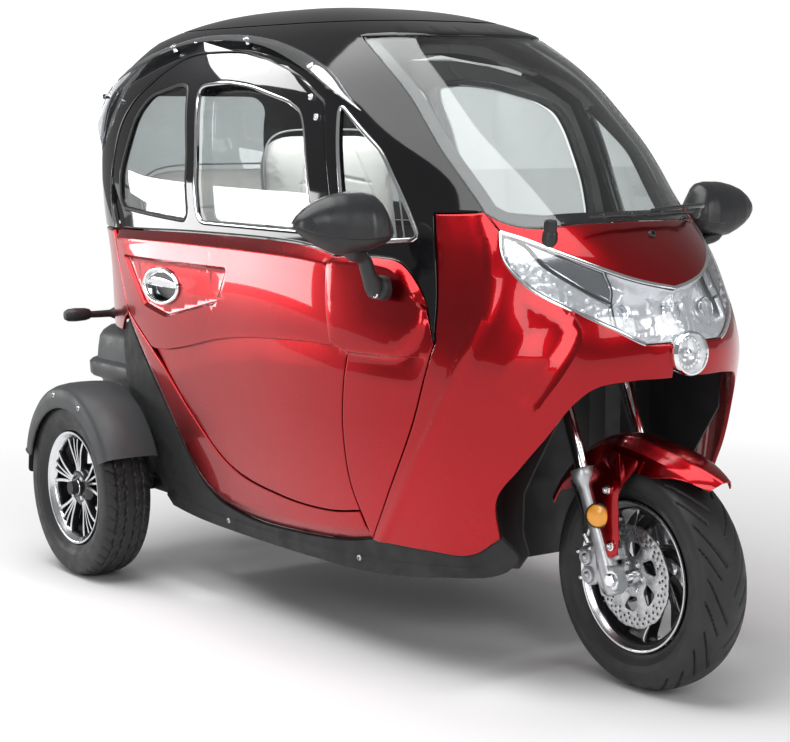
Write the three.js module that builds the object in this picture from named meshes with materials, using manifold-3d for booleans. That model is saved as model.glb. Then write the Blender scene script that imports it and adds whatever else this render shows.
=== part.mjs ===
// Enclosed three-wheeled mobility scooter: one front wheel, two rear wheels and a cabin with two doors.
// Millimetres, +X forward, +Y to the rider's left, +Z up. While it is built, X is measured from the
// rear axle; at the end the whole group is shifted so that its box is centred on the origin.
import * as THREE from "three";
import { mergeVertices } from "three/addons/utils/BufferGeometryUtils.js";
import Module from "manifold-3d";

const wasm = await Module();
wasm.setup();

// ---------------------------------------------------------------- driving dimensions
const WHEELBASE = 1657.5;
const HALF_TRACK = 510;
const FRONT_TYRE = { radius: 250, halfWidth: 65, bead: 166, flange: 178 };
const REAR_TYRE = { radius: 238, halfWidth: 67, bead: 153, flange: 165 };
const RIM_HALF = 44;
const BEAD_GAP = 0.5;
const RAKE = THREE.MathUtils.degToRad(23.8);
const FORK_OFFSET = 18;
const STEM_OFFSET = 40;
const LEG_HALF_SPACING = 92;
const CABIN_TOP = 1500;
const CROWN_START = 1420;
const SKIN = 3;
const SHUT_GAP = 3.4;
const GLASS = 4;
const FRAME_DEPTH = 8;
const FLOOR = { low: 264, high: 270 };
const RAIL = { half: 220, width: 36, height: 40, z: 236 };
const ARM_PIVOT = { x: 430, z: 224 };
const ARM_Y = 318;
const DOOR_HINGE = { x: 1190, y: 402, heights: [440, 670], reach: 80 };
const HANDLE = { x: 313, z: 799, halfLength: 96, halfHeight: 44 };
const MIRROR_KNUCKLE = { x: 1275, y: 448, z: 866, radius: 12 };
const MIRROR_HEAD = { x: 1306, y: 548, z: 1006, deep: 42, half: 117.5, high: 67, flat: 26 };

// The body's plan is a superellipse at every height: half width, nose and tail reach, their
// exponents, and where along X the body is widest.
const STATIONS = [
  { z: 180, half: 395, nose: 1580, tail: -120, noseN: 3.0, tailN: 4.0, mid: 700 },
  { z: 400, half: 440, nose: 1680, tail: -195, noseN: 2.8, tailN: 4.0, mid: 700 },
  { z: 600, half: 462, nose: 1730, tail: -210, noseN: 2.6, tailN: 4.0, mid: 700 },
  { z: 740, half: 468, nose: 1765, tail: -215, noseN: 2.4, tailN: 4.0, mid: 700 },
  { z: 850, half: 462, nose: 1735, tail: -240, noseN: 2.3, tailN: 4.0, mid: 700 },
  { z: 950, half: 448, nose: 1660, tail: -300, noseN: 2.4, tailN: 4.0, mid: 700 },
  { z: 1050, half: 430, nose: 1540, tail: -350, noseN: 2.6, tailN: 4.0, mid: 690 },
  { z: 1150, half: 413, nose: 1420, tail: -372, noseN: 3.0, tailN: 4.0, mid: 670 },
  { z: 1250, half: 393, nose: 1295, tail: -360, noseN: 3.2, tailN: 4.0, mid: 620 },
  { z: 1350, half: 352, nose: 1170, tail: -297, noseN: 3.3, tailN: 3.8, mid: 550 },
  { z: 1420, half: 295, nose: 1070, tail: -212, noseN: 3.2, tailN: 3.4, mid: 450 },
];
const LOFT_HEIGHTS = [
  180, 300, 430, 560, 665, 750, 850, 950, 1060, 1160, 1260, 1345, 1415, 1462, 1494,
];
const QUARTER_STEPS = 6;

// ---------------------------------------------------------------- outlines, as [x, z] on the body's side
const WINDSCREEN_EDGE = [[937, 1411], [1058, 1350], [1156, 1286], [1303, 1156], [1436, 1026]];
const WINDSCREEN_BASE = [[1436, 1026], [1480, 1006], [1536, 996], [1570, 1005], [1612, 1010]];
const COWL_END = [1800, 1010];
const LAMP_TOP = [[1482, 988], [1532, 973], [1600, 945], [1655, 919], [1712, 884], [1722, 874]];
const LAMP_BOTTOM = [[1482, 988], [1515, 927], [1575, 876], [1665, 828], [1722, 792], [1750, 764]];
const PILLAR_LINE = [
  [1336, 1023], [1370, 926], [1388, 842], [1396, 748], [1334, 558], [1242, 385], [1180, 288],
];
const ARCH_EDGE = [
  [1518, 337], [1526, 426], [1575, 496], [1622, 563], [1671, 639], [1706, 676], [1743, 688],
];
const FAIRING_FOOT = [[1180, 288], [1350, 288], [1448, 292], [1518, 337]];
const SHUT_LINE = [
  [1080, 920], [1062, 892], [1101, 730], [1142, 716], [1125, 557], [1133, 420], [1155, 352],
];
const QUARTER_BELT = [[1080, 920], [1223, 925], [1280, 917], [1336, 871], [1359, 840], [1396, 748]];
const DOOR_FOOT = [[1155, 352], [1044, 336], [841, 339], [621, 379], [452, 496], [312, 608], [123, 721]];
const DOOR_BELT = [[-12, 930], [468, 944], [955, 940], [1080, 920]];
const SURROUND_EDGE = [
  [98, 697], [289, 501], [390, 370], [450, 304], [510, 271], [671, 247], [855, 250], [1082, 268],
  [1180, 288],
];
const DOOR_FRAME_TOP = [
  [-12, 930], [-50, 1000], [-66, 1080], [-40, 1190], [25, 1262], [108, 1312], [180, 1352], [251, 1380],
  [400, 1388], [563, 1380], [700, 1355], [839, 1318], [958, 1262], [1050, 1000], [1080, 920],
];
const REAR_PANE = [
  [-4, 984], [410, 968], [385, 1130], [326, 1306], [279, 1313], [127, 1284], [58, 1230], [-6, 1090],
];
const MAIN_PANE = [
  [452, 968], [979, 968], [945, 1090], [906, 1197], [880, 1240], [820, 1266], [632, 1304], [500, 1316],
  [372, 1308], [420, 1130],
];
const QUARTER_PANE = [[1106, 948], [1320, 966], [1175, 1150], [1010, 1258]];
const SILL_FOOT = [
  [1518, 337], [1540, 290], [1498, 252], [1360, 228], [1181, 208], [900, 200], [420, 200], [250, 210],
];
const SILL_TAIL = [[250, 210], [110, 330], [40, 470], [34, 640], [98, 697]];
const REAR_PANEL = [[-460, 926], [-16, 926], [118, 714], [94, 700], [60, 662], [-460, 662]];
const REAR_WINDOW = { halfWidth: 250, low: 1010, high: 1290, corner: 60 };

// ---------------------------------------------------------------- solids
const DEPTH = 760;

function solid(geometry) {
  const bare = geometry.clone();
  bare.deleteAttribute("normal");
  bare.deleteAttribute("uv");
  const merged = mergeVertices(bare, 1e-4);
  return new wasm.Manifold(
    new wasm.Mesh({
      numProp: 3,
      vertProperties: new Float32Array(merged.attributes.position.array),
      triVerts: new Uint32Array(merged.index.array),
    }),
  );
}

function geometryOf(manifold) {
  const mesh = manifold.getMesh();
  const geometry = new THREE.BufferGeometry();
  geometry.setAttribute("position", new THREE.BufferAttribute(mesh.vertProperties, 3));
  geometry.setIndex(new THREE.BufferAttribute(mesh.triVerts, 1));
  geometry.computeVertexNormals();
  return geometry;
}

function mirrored(geometry) {
  const flipped = geometry.clone().scale(1, -1, 1);
  const index = flipped.index.array;
  for (let i = 0; i < index.length; i += 3) [index[i + 1], index[i + 2]] = [index[i + 2], index[i + 1]];
  flipped.computeVertexNormals();
  return flipped;
}

function joined(parts) {
  return parts.reduce((sum, part) => sum.add(part));
}

function boxAt(sx, sy, sz, x, y, z) {
  return solid(new THREE.BoxGeometry(sx, sy, sz).translate(x, y, z));
}

// A cylinder between two points, each given as [x, y, z].
function rod(from, to, radius, sides = 12, endRadius = radius) {
  const start = new THREE.Vector3(...from);
  const along = new THREE.Vector3(...to).sub(start);
  const geometry = new THREE.CylinderGeometry(endRadius, radius, along.length(), sides);
  const turn = new THREE.Quaternion().setFromUnitVectors(
    new THREE.Vector3(0, 1, 0), along.clone().normalize(),
  );
  geometry.applyQuaternion(turn);
  geometry.translate(...start.addScaledVector(along, 0.5).toArray());
  return solid(geometry);
}

// A round bar bent along a smooth path through the points.
function bar(points, radius, sides = 10, steps = 24) {
  const circle = new THREE.Shape().absarc(0, 0, radius, 0, Math.PI * 2);
  const curve = new THREE.CatmullRomCurve3(
    points.map((p) => new THREE.Vector3(...p)), false, "centripetal",
  );
  return solid(new THREE.ExtrudeGeometry(circle, { steps, curveSegments: sides / 2, extrudePath: curve }));
}

// A solid of revolution about the wheel axis (Y). The profile is a closed loop of [radius, y].
function turned(profile, segments) {
  const area = profile.reduce((sum, [r, y], i) => {
    const [r1, y1] = profile[(i + 1) % profile.length];
    return sum + r * y1 - r1 * y;
  }, 0);
  const loop = area > 0 ? profile : [...profile].reverse();
  const points = loop.concat([loop[0]]).map(([r, y]) => new THREE.Vector2(r, y));
  return solid(new THREE.LatheGeometry(points, segments));
}

function shapeOf(points) {
  return new THREE.Shape(points.map(([x, z]) => new THREE.Vector2(x, z)));
}

// A prism whose section is an [x, z] outline, reaching from y = -near to y = -far.
function prism(points, near = 0, far = DEPTH) {
  const geometry = new THREE.ExtrudeGeometry(shapeOf(points), { depth: far - near, bevelEnabled: false });
  geometry.rotateX(Math.PI / 2).translate(0, -near, 0);
  return solid(geometry);
}

// An [x, z] outline drawn in by a margin all round, with mitred corners (a negative margin grows it).
function drawnIn(points, margin) {
  const n = points.length;
  const area = points.reduce(
    (sum, [x, z], i) => sum + x * points[(i + 1) % n][1] - points[(i + 1) % n][0] * z, 0,
  );
  const turn = Math.sign(area);
  const normal = ([x0, z0], [x1, z1]) => {
    const length = Math.hypot(x1 - x0, z1 - z0);
    return [(-turn * (z1 - z0)) / length, (turn * (x1 - x0)) / length];
  };
  return points.map((p, i) => {
    const a = normal(points[(i + n - 1) % n], p);
    const b = normal(p, points[(i + 1) % n]);
    const mitre = margin / Math.max(1 + a[0] * b[0] + a[1] * b[1], 0.4);
    return [p[0] + (a[0] + b[0]) * mitre, p[1] + (a[1] + b[1]) * mitre];
  });
}

// A closed sheet between two matching grids of points, grid[i][j] as [x, y, z].
function sheet(outer, inner) {
  const rows = outer.length;
  const columns = outer[0].length;
  const positions = [...outer.flat(), ...inner.flat()].flat();
  const id = (side, i, j) => side * rows * columns + i * columns + j;
  const index = [];
  const quad = (a, b, c, d) => index.push(a, b, c, a, c, d);
  for (let i = 0; i + 1 < rows; i += 1) {
    for (let j = 0; j + 1 < columns; j += 1) {
      quad(id(0, i, j), id(0, i + 1, j), id(0, i + 1, j + 1), id(0, i, j + 1));
      quad(id(1, i, j), id(1, i, j + 1), id(1, i + 1, j + 1), id(1, i + 1, j));
    }
    quad(id(0, i, 0), id(1, i, 0), id(1, i + 1, 0), id(0, i + 1, 0));
    quad(
      id(0, i, columns - 1), id(0, i + 1, columns - 1), id(1, i + 1, columns - 1),
      id(1, i, columns - 1),
    );
  }
  for (let j = 0; j + 1 < columns; j += 1) {
    quad(id(0, 0, j), id(0, 0, j + 1), id(1, 0, j + 1), id(1, 0, j));
    quad(id(0, rows - 1, j), id(1, rows - 1, j), id(1, rows - 1, j + 1), id(0, rows - 1, j + 1));
  }
  const geometry = new THREE.BufferGeometry();
  geometry.setAttribute("position", new THREE.Float32BufferAttribute(positions, 3));
  geometry.setIndex(index);
  return solid(geometry);
}

// ---------------------------------------------------------------- the body's master surface
// Natural cubic spline through the stations, so that every plan dimension changes smoothly with height.
function spline(xs, ys) {
  const n = xs.length;
  const h = xs.slice(1).map((x, i) => x - xs[i]);
  const bend = new Array(n).fill(0);
  const pivot = new Array(n).fill(1);
  const right = new Array(n).fill(0);
  for (let i = 1; i < n - 1; i += 1) {
    const slope = (ys[i + 1] - ys[i]) / h[i] - (ys[i] - ys[i - 1]) / h[i - 1];
    const lower = i > 1 ? h[i - 1] / pivot[i - 1] : 0;
    pivot[i] = 2 * (h[i - 1] + h[i]) - (i > 1 ? lower * h[i - 1] : 0);
    right[i] = 6 * slope - (i > 1 ? lower * right[i - 1] : 0);
  }
  for (let i = n - 2; i > 0; i -= 1) bend[i] = (right[i] - h[i] * bend[i + 1]) / pivot[i];
  return (t) => {
    let i = 0;
    while (i < n - 2 && t > xs[i + 1]) i += 1;
    const a = (xs[i + 1] - t) / h[i];
    const b = (t - xs[i]) / h[i];
    const bow = (a ** 3 - a) * bend[i] + (b ** 3 - b) * bend[i + 1];
    return a * ys[i] + b * ys[i + 1] + (bow * h[i] ** 2) / 6;
  };
}

const heights = STATIONS.map((s) => s.z);
const along = Object.fromEntries(
  ["half", "nose", "tail", "noseN", "tailN", "mid"].map(
    (key) => [key, spline(heights, STATIONS.map((s) => s[key]))],
  ),
);

// Above CROWN_START the plan closes to a crown, steeply at the sides and gently at the nose.
const CROWN = { half: 1 / 3.2, nose: 1 / 2.3, tail: 1 / 2.6 };

function plan(z) {
  const at = Object.fromEntries(
    Object.entries(along).map(([key, f]) => [key, f(Math.min(z, CROWN_START))]),
  );
  if (z > CROWN_START) {
    const left = (CABIN_TOP - z) / (CABIN_TOP - CROWN_START);
    at.half *= left ** CROWN.half;
    at.nose = at.mid + (at.nose - at.mid) * left ** CROWN.nose;
    at.tail = at.mid + (at.tail - at.mid) * left ** CROWN.tail;
  }
  return at;
}

function halfWidth(x, z) {
  const p = plan(z);
  const ahead = x >= p.mid;
  const reach = ahead ? (x - p.mid) / (p.nose - p.mid) : (p.mid - x) / (p.mid - p.tail);
  const n = ahead ? p.noseN : p.tailN;
  return reach >= 1 ? 0 : p.half * (1 - reach ** n) ** (1 / n);
}

// The solid inside the master surface, drawn in by inset.
function bodyVolume(inset) {
  const rings = LOFT_HEIGHTS.map((z) => {
    const p = plan(z);
    const ring = [];
    for (let i = 0; i < QUARTER_STEPS * 4; i += 1) {
      const angle = (i * Math.PI) / 2 / QUARTER_STEPS;
      const [c, s] = [Math.cos(angle), Math.sin(angle)];
      const n = c >= 0 ? p.noseN : p.tailN;
      const reach = c >= 0 ? p.nose - p.mid : p.mid - p.tail;
      const length = Math.max(reach - inset, 1);
      const width = Math.max(p.half - inset, 1);
      ring.push([
        p.mid + Math.sign(c) * length * Math.abs(c) ** (2 / n),
        Math.sign(s) * width * Math.abs(s) ** (2 / n),
        z,
      ]);
    }
    return ring;
  });
  // The crown is drawn down as well as in, and the foot is carried below every panel.
  const lifted = rings.map((ring) => ring.map(([x, y, z]) => [x, y, z > CROWN_START ? z - inset : z]));
  const count = lifted[0].length;
  const positions = lifted.flat();
  const top = positions.length;
  positions.push(
    [plan(CROWN_START).mid, 0, lifted.at(-1)[0][2] + 0.5], [STATIONS[0].mid, 0, STATIONS[0].z - 1],
  );
  const index = [];
  for (let k = 0; k + 1 < lifted.length; k += 1) {
    for (let i = 0; i < count; i += 1) {
      const next = (i + 1) % count;
      const [a, b] = [k * count + i, k * count + next];
      const [c, d] = [a + count, b + count];
      index.push(a, b, d, a, d, c);
    }
  }
  for (let i = 0; i < count; i += 1) {
    const next = (i + 1) % count;
    const last = (lifted.length - 1) * count;
    index.push(last + i, last + next, top, next, i, top + 1);
  }
  const geometry = new THREE.BufferGeometry();
  geometry.setAttribute("position", new THREE.Float32BufferAttribute(positions.flat(), 3));
  geometry.setIndex(index);
  return solid(geometry);
}

const volumes = new Map();
function volume(inset) {
  if (!volumes.has(inset)) volumes.set(inset, bodyVolume(inset));
  return volumes.get(inset);
}

// A skin of the body: the part of a layer between two insets that lies inside a cutter.
const skin = (cutter, inset, thickness) => cutter.intersect(volume(inset)).subtract(
  volume(inset + thickness),
);

// A panel's cutter: its outline less half the shut gap, on the right-hand side or through the whole body.
const panelCut = (points, near = 0) => prism(drawnIn(points, SHUT_GAP / 2), near);
const wholeCut = (points, margin = SHUT_GAP / 2) => prism(drawnIn(points, margin), -DEPTH);

// ---------------------------------------------------------------- materials and the assembly
const FINISHES = {
  red: { color: 0x8e0b16, roughness: 0.18, metalness: 0.35 },
  gloss: { color: 0x08080a, roughness: 0.12, metalness: 0.0 },
  grey: { color: 0x3a3c3e, roughness: 0.62, metalness: 0.0 },
  dark: { color: 0x141416, roughness: 0.7, metalness: 0.0 },
  steel: { color: 0x2a2b2d, roughness: 0.45, metalness: 0.6 },
  chrome: { color: 0xd9dcde, roughness: 0.12, metalness: 1.0 },
  cast: { color: 0xb9bcbf, roughness: 0.42, metalness: 0.9 },
  alloy: { color: 0x1a1b1d, roughness: 0.3, metalness: 0.6 },
  tyre: { color: 0x1b1b1c, roughness: 0.88, metalness: 0.0 },
  glass: { color: 0x9fb0b4, roughness: 0.05, metalness: 0.0, transparent: true, opacity: 0.3 },
  lens: { color: 0xe8edf0, roughness: 0.05, metalness: 0.0, transparent: true, opacity: 0.4 },
  silver: { color: 0xc9ccd0, roughness: 0.2, metalness: 0.8 },
  seat: { color: 0xc6c4c0, roughness: 0.6, metalness: 0.0 },
  seatDark: { color: 0x2b2b2d, roughness: 0.6, metalness: 0.0 },
};

const scooter = new THREE.Group();
const SIDES = { R: false, L: true };

function place(name, manifold, finish, parent = scooter) {
  const geometry = manifold instanceof THREE.BufferGeometry ? manifold : geometryOf(manifold);
  const mesh = new THREE.Mesh(geometry, new THREE.MeshStandardMaterial(FINISHES[finish]));
  mesh.name = name;
  parent.add(mesh);
  return mesh;
}

// A piece drawn for the right-hand side (negative Y) and its mirror image on the left.
function placePair(name, manifold, finish) {
  const right = geometryOf(manifold);
  for (const [side, isLeft] of Object.entries(SIDES)) place(
    `${name}_${side}`, isLeft ? mirrored(right) : right, finish,
  );
}

// ---------------------------------------------------------------- body panels
const reversed = (points) => [...points].reverse();

const lampOutline = [...LAMP_TOP, [1800, 872], [1800, 760], ...reversed(LAMP_BOTTOM)].slice(0, -1);
const windscreenOutline = [
  ...WINDSCREEN_EDGE, ...WINDSCREEN_BASE.slice(1), COWL_END, [1300, 1560], [1090, 1424],
];
const doorOutline = [...DOOR_BELT, ...SHUT_LINE.slice(1), ...DOOR_FOOT.slice(1)];
const quarterOutline = [
  ...QUARTER_BELT, ...PILLAR_LINE.slice(4, 6), [1180, 288], ...reversed(SHUT_LINE).slice(0, -1),
];
const surroundOutline = [...SURROUND_EDGE, ...DOOR_FOOT];
const fairingOutline = [
  ...PILLAR_LINE, ...FAIRING_FOOT.slice(1), ...ARCH_EDGE.slice(1), [1800, 692], [1800, 760],
  ...reversed(LAMP_BOTTOM), [1436, 1026],
];
const sillOutline = [
  ...SURROUND_EDGE, ...FAIRING_FOOT.slice(1), ...SILL_FOOT.slice(1), ...SILL_TAIL.slice(1, -1),
];
const cabOutline = [
  [-460, 930], ...DOOR_FRAME_TOP, ...QUARTER_BELT.slice(1), ...reversed(PILLAR_LINE.slice(0, 3)),
  [1436, 1026], [1500, 1040], [1300, 1560], [-460, 1560],
];
const doorFrameOutline = [...DOOR_FRAME_TOP, ...reversed(DOOR_BELT).slice(1, -1)];

const handleOval = new THREE.Shape().absellipse(
  HANDLE.x, HANDLE.z, HANDLE.halfLength, HANDLE.halfHeight, 0, Math.PI * 2,
);
const handlePoints = handleOval.getPoints(8).slice(0, -1).map((p) => [p.x, p.y]);

const CENTRE_GAP = 1.5;
placePair("door_skin", skin(panelCut(doorOutline).subtract(prism(handlePoints)), 0, SKIN), "red");
const knuckle = MIRROR_KNUCKLE;
const mirrorFoot = rod(
  [knuckle.x, 14 - halfWidth(knuckle.x, knuckle.z), knuckle.z],
  [knuckle.x, -knuckle.y + knuckle.radius + 2, knuckle.z], 20, 12, 13,
);
placePair("quarter_panel", skin(panelCut(quarterOutline), 0, SKIN).add(mirrorFoot), "red");
placePair("side_surround", skin(panelCut(surroundOutline), 0, SKIN), "red");
placePair("front_fairing", skin(panelCut(fairingOutline, CENTRE_GAP), 0, SKIN), "red");
placePair("sill", skin(panelCut(sillOutline), 0, SKIN), "grey");
place("rear_panel", skin(wholeCut(REAR_PANEL), 0, SKIN), "red");

const noseOutline = [
  ...WINDSCREEN_BASE, COWL_END, [1800, 872], ...reversed(LAMP_TOP),
];
place("nose_panel", skin(wholeCut(noseOutline), 0, SKIN), "red");

// The cab: roof, both A-pillars, the frames round the quarter glass and the tail, with its window cut out.
function rearWindowCutter(grow) {
  const { halfWidth: w, low, high, corner } = REAR_WINDOW;
  const [a, b, c, d] = [-w - grow, w + grow, low - grow, high + grow];
  const shape = new THREE.Shape();
  shape.moveTo(a + corner, c).lineTo(b - corner, c).quadraticCurveTo(b, c, b, c + corner);
  shape.lineTo(b, d - corner).quadraticCurveTo(b, d, b - corner, d);
  shape.lineTo(a + corner, d).quadraticCurveTo(a, d, a, d - corner);
  shape.lineTo(a, c + corner).quadraticCurveTo(a, c, a + corner, c);
  const REACH = 500;
  const geometry = new THREE.ExtrudeGeometry(
    shape, { depth: REACH, bevelEnabled: false, curveSegments: 4 },
  );
  geometry.rotateX(Math.PI / 2).rotateZ(-Math.PI / 2);
  return solid(geometry);
}
const cab = skin(wholeCut(cabOutline), 0, FRAME_DEPTH)
  .subtract(wholeCut(windscreenOutline, 0))
  .subtract(wholeCut(QUARTER_PANE, 0))
  .subtract(rearWindowCutter(0));
place("cab_shell", cab, "gloss");

const GLASS_INSET = FRAME_DEPTH + 0.5;
const GLASS_LAP = 10;
const grown = (points, margin) => prism(drawnIn(points, -margin));
const BEHIND_FRAME = 9;
place("windscreen", skin(wholeCut(windscreenOutline, 2 * SHUT_GAP), 1, GLASS), "glass");
place("rear_window", skin(rearWindowCutter(GLASS_LAP), GLASS_INSET, GLASS), "glass");
placePair("quarter_glass", skin(grown(QUARTER_PANE, GLASS_LAP), GLASS_INSET, GLASS), "glass");

// ---------------------------------------------------------------- doors
// Gooseneck arms reach round the edge of the quarter panel to the hinge pin behind it.
function gooseneck(z) {
  const { x, y, reach } = DOOR_HINGE;
  const WIDTH = 12;
  const THICK = 14;
  const arm = new THREE.Shape();
  arm.absarc(0, 0, reach + WIDTH, Math.PI / 2, Math.PI, false);
  arm.absarc(0, 0, reach, Math.PI, Math.PI / 2, true);
  const curve = new THREE.ExtrudeGeometry(arm, { depth: THICK, bevelEnabled: false, curveSegments: 4 });
  const bow = solid(curve.translate(x, -y, z - THICK / 2));
  const link = boxAt(WIDTH, reach + WIDTH / 2, THICK, x - WIDTH / 2, -y + (reach + WIDTH / 2) / 2 + 3, z);
  const boss = rod([x, -y, z - THICK / 2], [x, -y, z + THICK / 2], 9, 8);
  const tabX = x - reach - WIDTH / 2;
  const tabEnd = halfWidth(tabX, z) - FRAME_DEPTH - 0.5;
  const tab = boxAt(WIDTH, tabEnd - y + 2, THICK, tabX, -(tabEnd + y - 2) / 2, z);
  return joined([bow, link, boss, tab]);
}
const paneHoles = prism(REAR_PANE).add(prism(MAIN_PANE));
const LINER_GAP = 0.6;
const doorInner = [
  [20, 946], [1040, 946], [1062, 900], [1096, 730], [1120, 700], [1110, 557], [1122, 420],
  [1130, 366], [1044, 346], [841, 350],
  [621, 388], [452, 506], [312, 618], [130, 730],
];
const doorFrame = skin(panelCut(doorFrameOutline).subtract(paneHoles), 0, FRAME_DEPTH)
  .add(skin(prism(doorInner), SKIN + LINER_GAP, FRAME_DEPTH - SKIN - LINER_GAP))
  .add(joined(DOOR_HINGE.heights.map(gooseneck)));
placePair("door_frame", doorFrame, "gloss");
placePair("door_rear_glass", skin(grown(REAR_PANE, BEHIND_FRAME), GLASS_INSET, GLASS), "glass");
const SLIDE_INSET = 20;
placePair("door_window", skin(grown(MAIN_PANE, BEHIND_FRAME), SLIDE_INSET, GLASS), "glass");

const PADDLE_GAP = 4;
const paddleCut = [[0, HANDLE.z - 8], [600, HANDLE.z - 8], [600, 1000], [0, 1000]];
const paddle = skin(prism(drawnIn(handlePoints, PADDLE_GAP)).intersect(prism(paddleCut)), 0, SKIN);
placePair("door_handle", paddle, "chrome");

// ---------------------------------------------------------------- mirrors
function mirrorBody() {
  const [k, h] = [knuckle, MIRROR_HEAD];
  const pin = rod([k.x, -k.y, k.z - 16], [k.x, -k.y, k.z + 16], k.radius, 10);
  const ARM_PATH = [
    [k.x, -k.y - 2, k.z], [k.x + 10, -k.y - 26, k.z + 22], [k.x + 14, -k.y - 46, k.z + 60],
    [h.x - 8, -h.y + 14, h.z - 36],
  ];
  const arm = bar(ARM_PATH, 10, 6, 5);
  const head = new THREE.SphereGeometry(1, 10, 6);
  head.scale(h.deep, h.half, h.high).rotateX(0.12).translate(h.x, -h.y, h.z);
  const shell = solid(head).subtract(boxAt(60, 260, 200, h.x - h.flat - 30, -h.y, h.z));
  return joined([pin, arm, shell]);
}
placePair("mirror", mirrorBody(), "dark");

// ---------------------------------------------------------------- lamps
const LAMP_DEPTH = { lens: 3, front: 10, back: 52, floor: 48 };
const LENS_MARGIN = 4;
place("headlamp_lens", skin(wholeCut(lampOutline, LENS_MARGIN), 1, LAMP_DEPTH.lens), "lens");
const bowl = skin(wholeCut(lampOutline, LENS_MARGIN), LAMP_DEPTH.front, LAMP_DEPTH.back - LAMP_DEPTH.front);
const hollow = wholeCut(lampOutline, 2 * LENS_MARGIN)
  .intersect(volume(LAMP_DEPTH.front - 2))
  .subtract(volume(LAMP_DEPTH.floor));
place("headlamp_housing", bowl.subtract(hollow), "silver");

// ---------------------------------------------------------------- floor, frame and inner wheel arch
const arch = { back: 1322, half: 236, low: 232, high: 676, wall: 4 };
function archPlan(half, back) {
  const CORNER = 120;
  const shape = new THREE.Shape();
  shape.moveTo(1620, -half).lineTo(back + CORNER, -half).quadraticCurveTo(
    back, -half, back, -half + CORNER,
  );
  shape.lineTo(back, half - CORNER).quadraticCurveTo(back, half, back + CORNER, half).lineTo(1620, half);
  const geometry = new THREE.ExtrudeGeometry(
    shape, { depth: arch.high - arch.low, bevelEnabled: false, curveSegments: 5 },
  );
  return solid(geometry.translate(0, 0, arch.low));
}
const linerReach = wholeCut(
  [
    [1300, 228], [1500, 262], [1534, 300], [1512, 345], [1516, 430], [1560, 500], [1640, 620],
    [1650, 690], [1300, 690],
  ],
  0,
);
const LINER_INSET = 12;
place(
  "wheel_arch_liner",
  archPlan(arch.half, arch.back)
    .subtract(archPlan(arch.half - arch.wall, arch.back + arch.wall))
    .intersect(linerReach)
    .intersect(volume(LINER_INSET)),
  "dark",
);

const FLOOR_INSET = 14;
place(
  "floor_pan",
  boxAt(810, 900, FLOOR.high - FLOOR.low, 885, 0, (FLOOR.high + FLOOR.low) / 2)
    .intersect(volume(FLOOR_INSET))
    .subtract(boxAt(90, 64, 40, 1144, 0, FLOOR.low)),
  "dark",
);

// Fork frame: s runs up the legs from the point nearest the axle.
const axle = new THREE.Vector3(WHEELBASE, 0, FRONT_TYRE.radius);
const up = new THREE.Vector3(-Math.sin(RAKE), 0, Math.cos(RAKE));
const ahead = new THREE.Vector3(Math.cos(RAKE), 0, Math.sin(RAKE));
function onFork(s, offset, y) {
  return axle.clone().addScaledVector(ahead, -offset).addScaledVector(up, s).add(
    new THREE.Vector3(0, y, 0),
  ).toArray();
}
const legPoint = (s, y) => onFork(s, FORK_OFFSET, y);
const stemPoint = (s, y = 0) => onFork(s, STEM_OFFSET, y);

const HEAD = { low: 470, high: 600, outer: 30, inner: 20 };
function chassis() {
  const REAR_Z = 440;
  const rail = (y) =>
    joined([
      boxAt(870, RAIL.width, RAIL.height - 12, 735, y, RAIL.z - 6),
      bar([[320, y, RAIL.z - 4], [250, y, RAIL.z + 20], [210, y, REAR_Z - 40], [150, y, REAR_Z]], 16, 6, 5),
      boxAt(400, RAIL.width, 30, -30, y, REAR_Z),
    ]);
  const cross = (x, z, half) => rod([x, -half, z], [x, half, z], 14, 8);
  const neck = stemPoint((HEAD.low + HEAD.high) / 2);
  const head = rod(stemPoint(HEAD.low), stemPoint(HEAD.high), HEAD.outer, 16).subtract(
    rod(stemPoint(HEAD.low - 10), stemPoint(HEAD.high + 10), HEAD.inner, 16),
  );
  const DOWN_TUBE = [
    [neck[0] - 26, 0, neck[2]],
    [1270, 0, neck[2] - 6], [1215, 0, 640], [1180, 0, 420], [1150, 0, 300], [1140, 0, RAIL.z],
  ];
  return joined([
    rail(-RAIL.half), rail(RAIL.half),
    cross(1140, RAIL.z - 4, RAIL.half), cross(620, RAIL.z - 4, ARM_Y - 40),
    cross(-200, REAR_Z, RAIL.half), cross(100, REAR_Z, RAIL.half), cross(0, REAR_Z, 344),
    bar(DOWN_TUBE, 20, 6, 8),
    head,
    ...[-1, 1].map(
      (side) => rod([0, side * ARM_Y, REAR_TYRE.radius + 90], [0, side * ARM_Y, REAR_Z], 9, 10),
    ),
  ]);
}
const bracketY = ARM_Y - 28;
const pivotBrackets = joined(
  [-1, 1].map(
    (side) => rod(
      [ARM_PIVOT.x, side * (RAIL.half - 10), ARM_PIVOT.z],
      [ARM_PIVOT.x, side * bracketY, ARM_PIVOT.z], 12, 10,
    ),
  ),
);
place("chassis_frame", chassis().add(pivotBrackets), "steel");

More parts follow.
